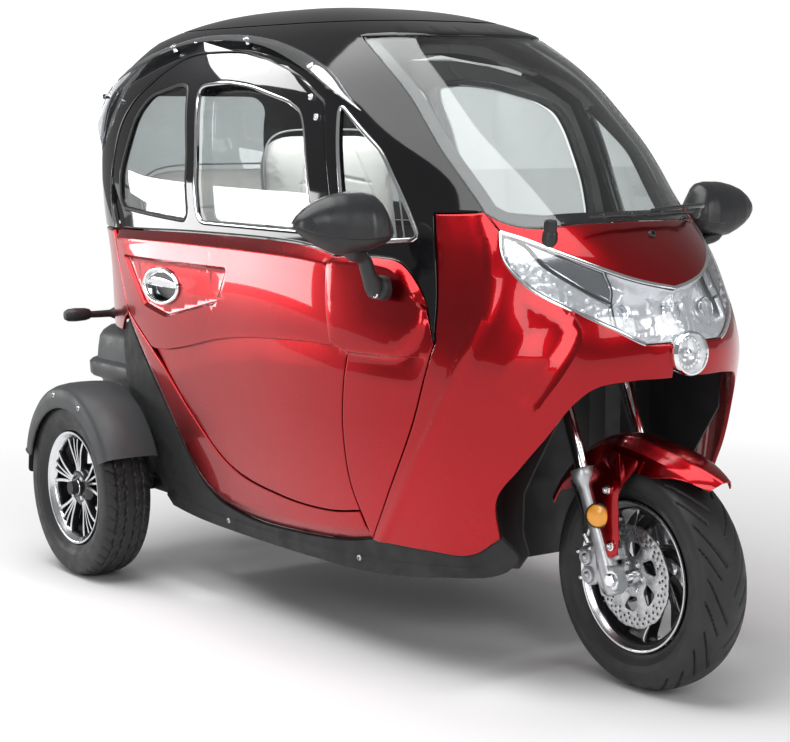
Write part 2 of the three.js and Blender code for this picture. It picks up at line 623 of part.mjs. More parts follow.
// ---------------------------------------------------------------- rear body box
// A hollow cover across the tail, with a flared belt round its middle, open to the front.
const COVER = [
  [430, 378, -235], [500, 384, -250], [512, 402, -285], [548, 404, -288], [560, 392, -262],
  [625, 386, -254], [652, 362, -225],
];
function coverLoft(inset) {
  const FRONT = 30;
  const CORNER = 110;
  const rings = COVER.map(([z, half, tail], i) => {
    const [h, t] = [half - inset, tail + inset];
    const height = i === COVER.length - 1 ? z - inset : z;
    const front = FRONT + (inset ? 20 : 0);
    return [
      [front, -h, height], [t + CORNER, -h, height],
      [t + CORNER * 0.3, -h + CORNER * 0.3, height], [t, -h + CORNER, height],
      [t, h - CORNER, height], [t + CORNER * 0.3, h - CORNER * 0.3, height],
      [t + CORNER, h, height], [front, h, height],
    ];
  });
  if (inset) rings[0] = rings[0].map(([x, y, z]) => [x, y, z - 10]);
  const count = rings[0].length;
  const positions = rings.flat(2);
  const index = [];
  for (let k = 0; k + 1 < rings.length; k += 1) {
    for (let i = 0; i < count; i += 1) {
      const next = (i + 1) % count;
      const [a, b] = [k * count + i, k * count + next];
      index.push(a, b + count, b, a, a + count, b + count);
    }
  }
  const last = (rings.length - 1) * count;
  for (let i = 1; i + 1 < count; i += 1) index.push(0, i, i + 1, last, last + i + 1, last + i);
  const geometry = new THREE.BufferGeometry();
  geometry.setAttribute("position", new THREE.Float32BufferAttribute(positions, 3));
  geometry.setIndex(index);
  return solid(geometry);
}
const COVER_WALL = 5;
place("rear_cover", coverLoft(0).subtract(coverLoft(COVER_WALL)), "grey");

// ---------------------------------------------------------------- seats, battery and dashboard
function cushion(lx, ly, lz, round) {
  const [hx, hy] = [lx / 2 - round, ly / 2 - round];
  const shape = new THREE.Shape();
  shape.moveTo(-hx, -hy - round).lineTo(hx, -hy - round).quadraticCurveTo(
    hx + round, -hy - round, hx + round, -hy,
  );
  shape.lineTo(hx + round, hy).quadraticCurveTo(hx + round, hy + round, hx, hy + round);
  shape.lineTo(-hx, hy + round).quadraticCurveTo(-hx - round, hy + round, -hx - round, hy);
  shape.lineTo(-hx - round, -hy).quadraticCurveTo(-hx - round, -hy - round, -hx, -hy - round);
  const BEVEL = 14;
  const settings = {
    depth: lz - 2 * BEVEL, bevelSize: BEVEL, bevelThickness: BEVEL, bevelOffset: -BEVEL,
    bevelSegments: 2,
  };
  return new THREE.ExtrudeGeometry(shape, { ...settings, curveSegments: 3 }).translate(0, 0, BEVEL);
}
const SEAT_TOP = 560;
const SEAT_BOX = { x: 560, length: 560, width: 480, foot: 280, wall: 10, lid: 5 };
function seatBox() {
  const { x, length, width, foot, wall, lid } = SEAT_BOX;
  const height = SEAT_TOP - foot;
  const hollow = boxAt(
    length - 2 * wall, width - 2 * wall, height + wall, x, 0, SEAT_TOP - lid - (height + wall) / 2,
  );
  return boxAt(length, width, height, x, 0, foot + height / 2).subtract(hollow);
}
place("seat_base", seatBox(), "dark");
const BATTERY = { size: [420, 400, 210], at: [540, 0, 383] };
place("battery_pack", boxAt(...BATTERY.size, ...BATTERY.at), "seatDark");

// Seat backs stand on their foot, leaned back about it.
const BACK_TILT = -0.2;
const SEATS = {
  driver_seat: { size: [400, 440, 90], round: 60, at: [640, 0, SEAT_TOP + 0.5] },
  driver_backrest: { size: [520, 430, 80], round: 80, foot: [40, 0, 260], at: [398, 0, SEAT_TOP + 108] },
  rear_seat: { size: [300, 660, 80], round: 60, at: [115, 0, 668] },
  rear_backrest: { size: [330, 620, 60], round: 70, foot: [30, 0, 165], at: [-95, 0, 760] },
};
for (const [name, { size, round, foot, at }] of Object.entries(SEATS)) {
  const pad = cushion(...size, round);
  if (foot) pad.rotateY(-Math.PI / 2).translate(...foot).rotateY(BACK_TILT);
  place(name, solid(pad.translate(...at)), "seat");
}

const DASH = [[1345, 700], [1345, 790], [1465, 880], [1520, 880], [1535, 820], [1510, 700]];
const DASH_INSET = 64;
const DASH_KNEE = { size: [260, 260, 600], at: [1340, 0, 700] };
place(
  "dashboard",
  wholeCut(DASH, 0)
    .intersect(volume(DASH_INSET))
    .subtract(boxAt(...DASH_KNEE.size, ...DASH_KNEE.at)),
  "dark",
);

// ---------------------------------------------------------------- wheels
function tyre({ radius, halfWidth: w, bead, flange }, segments) {
  const profile = [
    [bead, -RIM_HALF], [flange + 1.5, -RIM_HALF], [radius - 36, -w], [radius - 12, -w + 12],
    [radius, -18], [radius, 18], [radius - 12, w - 12], [radius - 36, w],
    [flange + 1.5, RIM_HALF], [bead, RIM_HALF], [bead, RIM_HALF - 10],
    [radius - 24, w - 20], [radius - 24, 20 - w], [bead, 10 - RIM_HALF],
  ];
  return turned(profile, segments);
}
function rim({ bead, flange }, { spokes, spokeWidth, spokeDepth, hub, hubHalf, bore, face }, segments) {
  const seat = bead - BEAD_GAP;
  const lip = RIM_HALF + BEAD_GAP;
  const barrel = turned(
    [
      [seat, -lip], [flange, -lip], [flange, -lip - 4.5], [seat - 9, -lip - 4.5],
      [seat - 9, lip + 4.5], [flange, lip + 4.5], [flange, lip], [seat, lip],
    ],
    segments,
  );
  const centre = turned([[bore, -hubHalf], [hub, -hubHalf], [hub, hubHalf], [bore, hubHalf]], 12);
  const ray = (i) => {
    const inner = hub - 6;
    const length = seat - 5 - inner;
    const spoke = new THREE.BoxGeometry(
      spokeWidth, spokeDepth, length,
    ).translate(0, face, inner + length / 2);
    return solid(spoke.rotateY((i * Math.PI * 2) / spokes));
  };
  const rays = Array.from({ length: spokes }, (_, i) => ray(i));
  return joined([barrel, centre, ...rays]);
}
const WHEEL_SEGMENTS = 24;
const FRONT_RIM = { spokes: 6, spokeWidth: 34, spokeDepth: 22, hub: 34, hubHalf: 42, bore: 12, face: 4 };
const REAR_RIM = { spokes: 5, spokeWidth: 44, spokeDepth: 16, hub: 62, hubHalf: 26, bore: 21, face: 22 };
const AXLE_R = 9;
const frontWheel = new THREE.Group();
frontWheel.position.copy(axle);
scooter.add(frontWheel);
place("front_tyre", tyre(FRONT_TYRE, WHEEL_SEGMENTS), "tyre", frontWheel);
place("front_rim", rim(FRONT_TYRE, FRONT_RIM, WHEEL_SEGMENTS), "silver", frontWheel);
const DISC = { y: -47, half: 2, inner: 26, outer: 113 };
place(
  "brake_disc",
  turned(
    [
      [DISC.inner, DISC.y - DISC.half], [DISC.outer, DISC.y - DISC.half],
      [DISC.outer, DISC.y + DISC.half], [DISC.inner, DISC.y + DISC.half],
    ],
    24,
  ),
  "chrome",
  frontWheel,
);

for (const [side, isLeft] of Object.entries(SIDES)) {
  const wheel = new THREE.Group();
  wheel.position.set(0, isLeft ? HALF_TRACK : -HALF_TRACK, REAR_TYRE.radius);
  scooter.add(wheel);
  place(`rear_tyre_${side}`, tyre(REAR_TYRE, WHEEL_SEGMENTS), "tyre", wheel);
  const outward = isLeft ? 1 : -1;
  place(
    `rear_rim_${side}`,
    rim(REAR_TYRE, { ...REAR_RIM, face: REAR_RIM.face * outward }, WHEEL_SEGMENTS), "alloy", wheel,
  );
}

// ---------------------------------------------------------------- steering, fork and front brake
const BRIDGE = { low: 438, high: 462 };
const STANCHION = { radius: 16, low: 84 };
const BAR_S = 700;
function steeringHead() {
  const bridge = new THREE.BoxGeometry(64, 2 * LEG_HALF_SPACING + 46, BRIDGE.high - BRIDGE.low);
  bridge.rotateY(-RAKE).translate(
    ...onFork((BRIDGE.low + BRIDGE.high) / 2, (FORK_OFFSET + STEM_OFFSET) / 2, 0),
  );
  return joined([
    solid(bridge),
    rod(stemPoint(BRIDGE.low + 4), stemPoint(BAR_S), 15, 14),
    ...[-1, 1].map((side) =>
      rod(
        legPoint(STANCHION.low, side * LEG_HALF_SPACING),
        legPoint(BRIDGE.high - 2, side * LEG_HALF_SPACING), STANCHION.radius, 14,
      ),
    ),
  ]);
}
place("fork_yoke", steeringHead(), "chrome");

const barCentre = new THREE.Vector3(...stemPoint(BAR_S + 18));
const GRIP = { from: 176, to: 300, radius: 17, back: -58, lift: 6 };
const gripAt = (y) => [
  barCentre.x + GRIP.back * (Math.abs(y) > 150 ? 1 : Math.abs(y) / 150), y, barCentre.z + GRIP.lift,
];
const BAR = { radius: 11, straight: 60, bend: 165, end: 305, block: [46, 60, 34] };
const CLAMP = { from: 150, right: 170, left: 172, radius: 16 };
const BINNACLE = { size: [70, 150, 46], lean: -0.5, ahead: 18, above: 34 };
function handlebar() {
  const block = new THREE.BoxGeometry(...BAR.block).rotateY(-RAKE).translate(...barCentre.toArray());
  const stops = [
    gripAt(-BAR.end), gripAt(-BAR.bend),
    [barCentre.x, -BAR.straight, barCentre.z], [barCentre.x, BAR.straight, barCentre.z],
    gripAt(BAR.bend), gripAt(BAR.end),
  ];
  const tube = joined(stops.slice(1).map((to, i) => rod(stops[i], to, BAR.radius, 8)));
  const leftGrip = rod(gripAt(GRIP.from), gripAt(GRIP.to), GRIP.radius, 10);
  const binnacle = new THREE.BoxGeometry(...BINNACLE.size).rotateY(BINNACLE.lean).translate(
    barCentre.x + BINNACLE.ahead, 0, barCentre.z + BINNACLE.above,
  );
  const clampR = rod(gripAt(-CLAMP.from), gripAt(-CLAMP.right), CLAMP.radius, 8);
  const clampL = rod(gripAt(CLAMP.from), gripAt(CLAMP.left), CLAMP.radius, 8);
  return joined([solid(block), tube, leftGrip, solid(binnacle), clampR, clampL]);
}
place("handlebar", handlebar(), "dark");
place(
  "throttle_grip",
  rod(
    gripAt(-GRIP.from), gripAt(-GRIP.to), GRIP.radius, 14,
  ).subtract(rod(gripAt(-160), gripAt(-310), 13.5, 12)),
  "dark",
);
const LEVER = { pivotY: 162, tipY: 292, ahead: 48 };
const leverPath = (side) => {
  const at = (y, dx, dz) => [barCentre.x + GRIP.back + dx, side * y, barCentre.z + GRIP.lift + dz];
  return [
    at(LEVER.pivotY, 27, 0), at(188, LEVER.ahead, -2), at(240, LEVER.ahead + 8, -5),
    at(LEVER.tipY, LEVER.ahead + 4, -6),
  ];
};
place("brake_lever_R", bar(leverPath(-1), 6, 6, 5), "silver");
place("brake_lever_L", bar(leverPath(1), 6, 6, 5), "silver");

const LOWER = { low: -26, high: 250, radius: 23, bore: 19, boreLow: 6 };
function forkLowers() {
  const leg = (y) =>
    rod(legPoint(LOWER.low, y), legPoint(LOWER.high, y), LOWER.radius, 12).subtract(
      rod(legPoint(LOWER.boreLow, y), legPoint(LOWER.high + 20, y), LOWER.bore, 12),
    );
  const foot = (y) => rod(legPoint(-6, y), [axle.x, y, axle.z], 15, 8);
  const clampEnd = (y, out) => rod([axle.x, y - out * 12, axle.z], [axle.x, y + out * 16, axle.z], 19, 12);
  return joined([
    ...[-1, 1].flatMap(
      (side) => [
        leg(side * LEG_HALF_SPACING), foot(side * LEG_HALF_SPACING),
        clampEnd(side * LEG_HALF_SPACING, side),
      ],
    ),
    rod([axle.x, -LEG_HALF_SPACING, axle.z], [axle.x, LEG_HALF_SPACING, axle.z], AXLE_R, 14),
  ]);
}
const CALIPER = { back: 104, above: 10, body: [56, 46, 84], lug: [20, 22, 60], slot: [60, 12, 100] };
const caliperAt = [axle.x - CALIPER.back, 0, axle.z + CALIPER.above];
const lowers = forkLowers();
place("fork_lowers", lowers, "cast");
const caliper = boxAt(...CALIPER.body, caliperAt[0] - 4, DISC.y - 6, caliperAt[2])
  .add(boxAt(...CALIPER.lug, caliperAt[0] - 10, -LEG_HALF_SPACING + 12, caliperAt[2]))
  .subtract(boxAt(...CALIPER.slot, caliperAt[0] + 8, DISC.y, caliperAt[2]))
  .subtract(rod(legPoint(-60, -LEG_HALF_SPACING), legPoint(200, -LEG_HALF_SPACING), LOWER.radius + 1, 16));
place("brake_caliper", caliper, "cast");

// ---------------------------------------------------------------- front mudguard
const GUARD = {
  from: 46, to: 152, steps: 10, across: 7, thick: 3, radius: 286, crown: 26, half: 74,
  tipLift: 46, tipNarrow: 48, tipShare: 3.2,
};
function frontGuard() {
  const ring = (thick) =>
    Array.from({ length: GUARD.steps + 1 }, (_, i) => {
      const t = i / GUARD.steps;
      const angle = THREE.MathUtils.degToRad(GUARD.from + (GUARD.to - GUARD.from) * t);
      const tip = Math.max(0, 1 - t * GUARD.tipShare);
      const lift = GUARD.tipLift * tip ** 1.6;
      const wide = GUARD.half - GUARD.tipNarrow * tip ** 1.4;
      return Array.from({ length: GUARD.across }, (__, j) => {
        const v = (2 * j) / (GUARD.across - 1) - 1;
        const r = GUARD.radius + lift - GUARD.crown * Math.abs(v) ** 2.4 - thick;
        const side = wide - (Math.abs(v) > 0.99 ? 0 : thick * 0.3);
        return [axle.x + r * Math.cos(angle), -v * side, axle.z + r * Math.sin(angle)];
      });
    });
  return sheet(ring(0), ring(GUARD.thick));
}
function guardFlange(side) {
  const [near, far] = [70.5, 74];
  const points = [[1639, 318], [1664, 322], [1662, 430], [1700, 508], [1588, 520], [1592, 440]];
  return side < 0 ? prism(points, near, far) : prism(points, -far, -near);
}
place("front_mudguard", joined([frontGuard(), guardFlange(-1), guardFlange(1)]), "red");

// ---------------------------------------------------------------- rear axle, mudguards and dampers
const SPINDLE_R = 18;
function rearAxle() {
  const z = REAR_TYRE.radius;
  const arm = (side) =>
    joined([
      boxAt(ARM_PIVOT.x - 20, 26, 30, ARM_PIVOT.x / 2 - 6, side * ARM_Y, z - 8),
      rod(
        [ARM_PIVOT.x, side * (ARM_Y - 13), ARM_PIVOT.z],
        [ARM_PIVOT.x, side * (ARM_Y + 13), ARM_PIVOT.z], 20, 10,
      ).subtract(
        rod(
          [ARM_PIVOT.x, side * (ARM_Y - 20), ARM_PIVOT.z],
          [ARM_PIVOT.x, side * (ARM_Y + 20), ARM_PIVOT.z], 10, 8,
        ),
      ),
    ]);
  const drum = (side) => rod([0, side * 400, z], [0, side * 430, z], 70, 14);
  const cup = (side) =>
    rod([0, side * ARM_Y, z + 20], [0, side * ARM_Y, z + 150], 32, 10).subtract(
      rod([0, side * ARM_Y, z + 60], [0, side * ARM_Y, z + 160], 26, 10),
    );
  const hanger = (side) => boxAt(30, 30, 50, 0, side * 412, z + 80);
  return joined([
    rod([0, -430, z], [0, 430, z], 30, 10),
    rod([0, -HALF_TRACK - 60, z], [0, HALF_TRACK + 60, z], SPINDLE_R, 12),
    rod([0, -95, z], [0, 95, z], 88, 16),
    rod([0, 90, z], [0, 210, z], 66, 16, 56),
    ...[-1, 1].flatMap((side) => [arm(side), drum(side), cup(side), hanger(side)]),
  ]);
}
place("rear_axle", rearAxle(), "steel");

const WING = { from: 24, to: 158, steps: 12, across: 6, inner: 437, outer: 592, thick: 4, radius: 284 };
function rearGuard() {
  const ring = (thick) =>
    Array.from({ length: WING.steps + 1 }, (_, i) => {
      const angle = THREE.MathUtils.degToRad(WING.from + ((WING.to - WING.from) * i) / WING.steps);
      return Array.from({ length: WING.across }, (__, j) => {
        const t = j / (WING.across - 1);
        const r = WING.radius - 26 * t ** 3 - thick;
        const y = WING.inner + (WING.outer - WING.inner) * t - (j === WING.across - 1 ? 0 : thick * t);
        return [r * Math.cos(angle), -y, REAR_TYRE.radius + r * Math.sin(angle)];
      });
    });
  return sheet(ring(0), ring(WING.thick));
}
placePair("rear_mudguard", rearGuard(), "grey");

// ---------------------------------------------------------------- wiper
const WIPER = {
  foot: [1496, 264, 1014], pivot: [1508, 265, 1029], blade: [[1593, 169, 1020], [1611, -148, 1016]],
};
const wiper = joined([
  rod(WIPER.foot, WIPER.pivot, 13, 10),
  rod(WIPER.pivot, WIPER.blade[0], 6, 8),
  rod([WIPER.blade[0][0] - 6, 226, 1022], WIPER.blade[1], 5, 8),
  rod(WIPER.blade[0], [WIPER.blade[0][0] - 4, 160, 1020], 8, 8),
]);
place("wiper_arm", wiper, "dark");

// ---------------------------------------------------------------- stand the box over the origin
const box = new THREE.Box3().setFromObject(scooter);
scooter.position.set(-(box.min.x + box.max.x) / 2, 0, 0);

export default scooter;
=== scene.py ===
"""Looks of an enclosed three-wheeled mobility scooter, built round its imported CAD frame.

Shapes are drawn in design millimetres: +X forward measured from the rear axle, +Y to the rider's left,
+Z up. metres() carries them into the frame. Most body pieces lie on one master surface, whose plan is a
superellipse at every height, and are drawn in its chart: distance round the body, and height.
"""

import math

import bmesh
import bpy
import numpy as np
from mathutils import Matrix, Vector
from mathutils.geometry import delaunay_2d_cdt


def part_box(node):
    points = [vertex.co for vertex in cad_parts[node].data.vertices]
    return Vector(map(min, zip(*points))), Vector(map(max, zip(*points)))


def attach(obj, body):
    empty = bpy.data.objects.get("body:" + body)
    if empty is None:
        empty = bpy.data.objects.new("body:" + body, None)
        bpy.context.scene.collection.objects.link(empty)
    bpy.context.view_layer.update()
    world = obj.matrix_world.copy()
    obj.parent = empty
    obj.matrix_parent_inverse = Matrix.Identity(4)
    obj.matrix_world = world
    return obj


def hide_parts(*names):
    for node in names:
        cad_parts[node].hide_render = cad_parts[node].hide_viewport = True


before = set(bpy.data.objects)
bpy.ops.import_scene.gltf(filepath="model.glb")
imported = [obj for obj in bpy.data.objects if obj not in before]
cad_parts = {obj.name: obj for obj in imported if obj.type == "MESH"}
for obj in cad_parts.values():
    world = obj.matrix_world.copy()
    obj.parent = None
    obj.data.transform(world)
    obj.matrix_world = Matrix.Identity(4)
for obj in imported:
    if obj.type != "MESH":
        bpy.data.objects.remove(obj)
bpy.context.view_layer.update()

MM = 0.001
WHEELBASE = 1657.5
TYRE_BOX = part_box("front_tyre")
SHIFT = (TYRE_BOX[0].x + TYRE_BOX[1].x) / 2 / MM - WHEELBASE
SIDES = {"R": 1, "L": -1}

# ---------------------------------------------------------------- driving dimensions, as in the CAD
STATIONS = {
    "z": [180, 400, 600, 740, 850, 950, 1050, 1150, 1250, 1350, 1420],
    "half": [395, 440, 462, 468, 462, 448, 430, 413, 393, 352, 295],
    "nose": [1580, 1680, 1730, 1765, 1735, 1660, 1540, 1420, 1295, 1170, 1070],
    "tail": [-120, -195, -210, -215, -240, -300, -350, -372, -360, -297, -212],
    "nose_n": [3.0, 2.8, 2.6, 2.4, 2.3, 2.4, 2.6, 3.0, 3.2, 3.3, 3.2],
    "tail_n": [4.0, 4.0, 4.0, 4.0, 4.0, 4.0, 4.0, 4.0, 4.0, 3.8, 3.4],
    "mid": [700, 700, 700, 700, 700, 700, 690, 670, 620, 550, 450],
}
CROWN_START, CABIN_TOP = 1420, 1500
CROWN_REACH = 295
CROWN_POWER = 3.2
CROWN = {"half": 1 / CROWN_POWER, "nose": 1 / 2.3, "tail": 1 / 2.6}
SHUT_GAP = 3.4
FRONT_WHEEL = (WHEELBASE, 0, 250)
REAR_RADIUS = 238
HALF_TRACK = 510
RAKE = math.radians(23.8)
FORK_OFFSET, STEM_OFFSET, LEG_Y = 18, 40, 92
HANDLE = (313, 799, 96, 44)


# ---------------------------------------------------------------- small geometry tools
def metres(points):
    """Design millimetres to metres in the frame."""
    made = np.array(points, float).reshape(-1, 3)
    made[:, 0] += SHIFT
    return made * MM


def unit(v):
    """A direction of length 1."""
    v = np.asarray(v, float)
    return v / np.linalg.norm(v)


def blend(x, low, high):
    """0 below low, 1 above high, with a smooth ramp between."""
    t = np.clip((np.asarray(x, float) - low) / (high - low), 0, 1)
    return t * t * (3 - 2 * t)


def mixed(t, low, high, first, second):
    """first at low and second at high, in a straight mix between."""
    return (high - t) / (high - low) * first + (t - low) / (high - low) * second


def curve(points, step=12.0):
    """An open line through the points, rounded by a centripetal Catmull-Rom curve and cut in even steps."""
    p = np.asarray(points, float)
    if len(p) > 2:
        ends = np.vstack([2 * p[0] - p[1], p, 2 * p[-1] - p[-2]])
        knots = np.concatenate([[0], np.cumsum(np.linalg.norm(np.diff(ends, axis=0), axis=1) ** 0.5)])
        dense = []
        for i in range(1, len(ends) - 2):
            t = np.linspace(knots[i], knots[i + 1], 24, endpoint=False)[:, None]
            k = knots[i - 1 : i + 3]
            a = [mixed(t, k[j], k[j + 1], ends[i - 1 + j], ends[i + j]) for j in range(3)]
            b = [mixed(t, k[j], k[j + 2], a[j], a[j + 1]) for j in range(2)]
            dense.append(mixed(t, k[1], k[2], b[0], b[1]))
        p = np.vstack(dense + [p[-1:]])
    lengths = np.concatenate([[0], np.cumsum(np.linalg.norm(np.diff(p, axis=0), axis=1))])
    count = max(int(round(lengths[-1] / step)), 1)
    at = np.linspace(0, lengths[-1], count + 1)
    return np.column_stack([np.interp(at, lengths, p[:, i]) for i in range(p.shape[1])])


def chain(*lines):
    """One closed outline from lines laid end to end, with repeated points left out."""
    points = np.vstack(lines)
    keep = [i for i in range(len(points)) if np.linalg.norm(points[i] - points[i - 1]) > 0.5]
    return points[keep]


def rounded(points, radius, step=10.0):
    """A closed outline with its corners rounded by arcs of about that radius."""
    p = np.asarray(points, float)
    n = len(p)
    made = []
    for i in range(n):
        before, here, after = p[i - 1], p[i], p[(i + 1) % n]
        cut = min(radius, 0.45 * np.linalg.norm(before - here), 0.45 * np.linalg.norm(after - here))
        start = here + unit(before - here) * cut
        end = here + unit(after - here) * cut
        t = np.linspace(0, 1, 7)[:, None]
        made.append((1 - t) ** 2 * start + 2 * t * (1 - t) * here + t**2 * end)
    loop = np.vstack(made)
    return curve_closed(loop, step)


def curve_closed(points, step=10.0):
    """A closed outline of straight lines, cut in even steps."""
    loop = np.vstack([points, points[:1]])
    lengths = np.concatenate([[0], np.cumsum(np.linalg.norm(np.diff(loop, axis=0), axis=1))])
    count = max(int(round(lengths[-1] / step)), 8)
    at = np.linspace(0, lengths[-1], count, endpoint=False)
    return np.column_stack([np.interp(at, lengths, loop[:, i]) for i in range(loop.shape[1])])


def polar(radius, angle):
    """[x, y] at a radius and an angle, either of which may be an array."""
    return np.column_stack([radius * np.cos(angle), radius * np.sin(angle)])


def area_of(p):
    q = np.roll(p, -1, axis=0)
    return float(np.sum(p[:, 0] * q[:, 1] - q[:, 0] * p[:, 1])) / 2


def drawn_in(p, margin):
    """A closed outline moved inwards by margin, with mitred corners."""
    turn = math.copysign(1, area_of(p))
    ahead = np.roll(p, -1, axis=0) - p
    ahead /= np.maximum(np.linalg.norm(ahead, axis=1), 1e-9)[:, None]
    normal = turn * np.column_stack([-ahead[:, 1], ahead[:, 0]])
    before = np.roll(normal, 1, axis=0)
    mitre = margin / np.maximum(1 + np.sum(before * normal, axis=1), 0.5)
    return p + (before + normal) * mitre[:, None]


def inside(points, loop):
    """Which points lie inside a closed outline."""
    x, y = points[:, 0][:, None], points[:, 1][:, None]
    a, b = loop, np.roll(loop, -1, axis=0)
    crosses = (a[:, 1] > y) != (b[:, 1] > y)
    with np.errstate(divide="ignore", invalid="ignore"):
        at = (b[:, 0] - a[:, 0]) * (y - a[:, 1]) / (b[:, 1] - a[:, 1]) + a[:, 0]
    return (np.sum(crosses & (x < at), axis=1) % 2) == 1


def distance_to(points, line, closed=False):
    """Distance to a line, which side of it (1 on its left), and how far along it the nearest place is."""
    a = line if closed else line[:-1]
    b = np.roll(line, -1, axis=0) if closed else line[1:]
    d = b - a
    length = np.maximum(np.linalg.norm(d, axis=1), 1e-9)
    start = np.concatenate([[0], np.cumsum(length)])[:-1]
    best = np.full(len(points), 1e9)
    side = np.ones(len(points))
    along = np.zeros(len(points))
    for i in range(len(a)):
        rel = points - a[i]
        t = np.clip(rel @ d[i] / length[i] ** 2, 0, 1)
        gap = np.linalg.norm(rel - t[:, None] * d[i], axis=1)
        closer = gap < best - 1e-9
        best = np.where(closer, gap, best)
        side = np.where(closer, np.sign(d[i, 0] * rel[:, 1] - d[i, 1] * rel[:, 0]), side)
        along = np.where(closer, start[i] + t * length[i], along)
    return best, side, along


# ---------------------------------------------------------------- the body's master surface
def natural_spline(xs, ys):
    """A natural cubic spline, as a function of an array."""
    xs, ys = np.asarray(xs, float), np.asarray(ys, float)
    h = np.diff(xs)
    n = len(xs)
    system, right = np.eye(n), np.zeros(n)
    for i in range(1, n - 1):
        system[i, i - 1 : i + 2] = h[i - 1], 2 * (h[i - 1] + h[i]), h[i]
        right[i] = 6 * ((ys[i + 1] - ys[i]) / h[i] - (ys[i] - ys[i - 1]) / h[i - 1])
    bend = np.linalg.solve(system, right)

    def value(t):
        t = np.asarray(t, float)
        i = np.clip(np.searchsorted(xs, t) - 1, 0, n - 2)
        a, b = (xs[i + 1] - t) / h[i], (t - xs[i]) / h[i]
        curved = ((a**3 - a) * bend[i] + (b**3 - b) * bend[i + 1]) * h[i] ** 2 / 6
        return a * ys[i] + b * ys[i + 1] + curved

    return value


ALONG = {key: natural_spline(STATIONS["z"], STATIONS[key]) for key in STATIONS if key != "z"}


def level_of(z):
    """The chart's second coordinate for a height: the height itself, or above the crown's start the reach."""
    z = np.asarray(z, float)
    left = np.clip((CABIN_TOP - z) / (CABIN_TOP - CROWN_START), 0, 1)
    return np.where(z <= CROWN_START, z, CROWN_START + (1 - left ** (1 / CROWN_POWER)) * CROWN_REACH)


def height_of(level):
    """The height for a chart level: level_of turned round."""
    level = np.asarray(level, float)
    w = np.clip(1 - (level - CROWN_START) / CROWN_REACH, 0, 1)
    crown = CABIN_TOP - (CABIN_TOP - CROWN_START) * w**CROWN_POWER
    return np.where(level <= CROWN_START, level, crown)


LOWEST_LEVEL, LEVEL_COUNT = 170, 460
SHARE_COUNT = 641
PLAN_STEPS = 2401
LEVELS = np.linspace(LOWEST_LEVEL, CROWN_START + CROWN_REACH * 0.999, LEVEL_COUNT)
SHARES = np.linspace(0, 1, SHARE_COUNT)


def ring(level):
    """Half of the body's plan at one level, from nose to tail, in even steps of length."""
    z = float(height_of(level))
    p = {key: float(f(min(z, CROWN_START))) for key, f in ALONG.items()}
    if z > CROWN_START:
        left = max((CABIN_TOP - z) / (CABIN_TOP - CROWN_START), 1e-9)
        p["half"] *= left ** CROWN["half"]
        p["nose"] = p["mid"] + (p["nose"] - p["mid"]) * left ** CROWN["nose"]
        p["tail"] = p["mid"] + (p["tail"] - p["mid"]) * left ** CROWN["tail"]
    angle = np.linspace(0, math.pi, PLAN_STEPS)
    c, s = np.cos(angle), np.clip(np.sin(angle), 0, 1)
    n = np.where(c >= 0, p["nose_n"], p["tail_n"])
    reach = np.where(c >= 0, p["nose"] - p["mid"], p["mid"] - p["tail"])
    x = p["mid"] + np.sign(c) * reach * np.abs(c) ** (2 / n)
    y = p["half"] * s ** (2 / n)
    run = np.concatenate([[0], np.cumsum(np.hypot(np.diff(x), np.diff(y)))])
    at = SHARES * run[-1]
    return np.interp(at, run, x), np.interp(at, run, y), run[-1]


RINGS = [ring(level) for level in LEVELS]
X_TABLE = np.array([r[0] for r in RINGS])
Y_TABLE = np.array([r[1] for r in RINGS])
WIDEST = 740
SPAN = float(ring(WIDEST)[2])


def looked_up(table, s, level):
    """A value between the four nearest entries of a table of [level, share]."""
    i = np.clip((level - LEVELS[0]) / (LEVELS[1] - LEVELS[0]), 0, len(LEVELS) - 1.001)
    j = np.clip(s / SPAN * (len(SHARES) - 1), 0, len(SHARES) - 1.001)
    i0, j0 = i.astype(int), j.astype(int)
    fi, fj = i - i0, j - j0
    low = table[i0, j0] * (1 - fj) + table[i0, j0 + 1] * fj
    high = table[i0 + 1, j0] * (1 - fj) + table[i0 + 1, j0 + 1] * fj
    return low * (1 - fi) + high * fi


def on_body(chart):
    """Chart points, [distance round the body from the nose, level], to places on its right-hand half."""
    chart = np.asarray(chart, float)
    s, level = chart[:, 0], chart[:, 1]
    x, y = looked_up(X_TABLE, s, level), looked_up(Y_TABLE, s, level)
    return np.column_stack([x, -y, height_of(level)])


def body_normal(chart):
    """The body's outward direction at chart points, from places a little to each side."""
    chart = np.asarray(chart, float)
    d = 2.0
    s0, s1 = np.clip(chart[:, 0] - d, 0, SPAN), np.clip(chart[:, 0] + d, 0, SPAN)
    v0, v1 = chart[:, 1] - d, chart[:, 1] + d
    across = on_body(np.column_stack([s1, chart[:, 1]])) - on_body(np.column_stack([s0, chart[:, 1]]))
    up = on_body(np.column_stack([chart[:, 0], v1])) - on_body(np.column_stack([chart[:, 0], v0]))
    # On the centre line the surface runs straight across.
    for edge, sign in ((chart[:, 0] < 0.5, -1.0), (chart[:, 0] > SPAN - 0.5, 1.0)):
        across[edge] = [0.0, sign, 0.0]
        up[edge, 1] = 0.0
    n = np.cross(up, across)
    return n / np.maximum(np.linalg.norm(n, axis=1), 1e-9)[:, None]


def chart_of(points):
    """[x, z] on the body's side to chart points. An x past the nose or the tail lies on the centre line."""
    made = []
    for x, z in np.asarray(points, float):
        level = float(level_of(z))
        i = np.clip((level - LEVELS[0]) / (LEVELS[1] - LEVELS[0]), 0, len(LEVELS) - 1.001)
        f = i - int(i)
        row = X_TABLE[int(i)] * (1 - f) + X_TABLE[int(i) + 1] * f
        made.append([float(np.interp(-x, -row, SHARES)) * SPAN, level])
    return np.array(made)


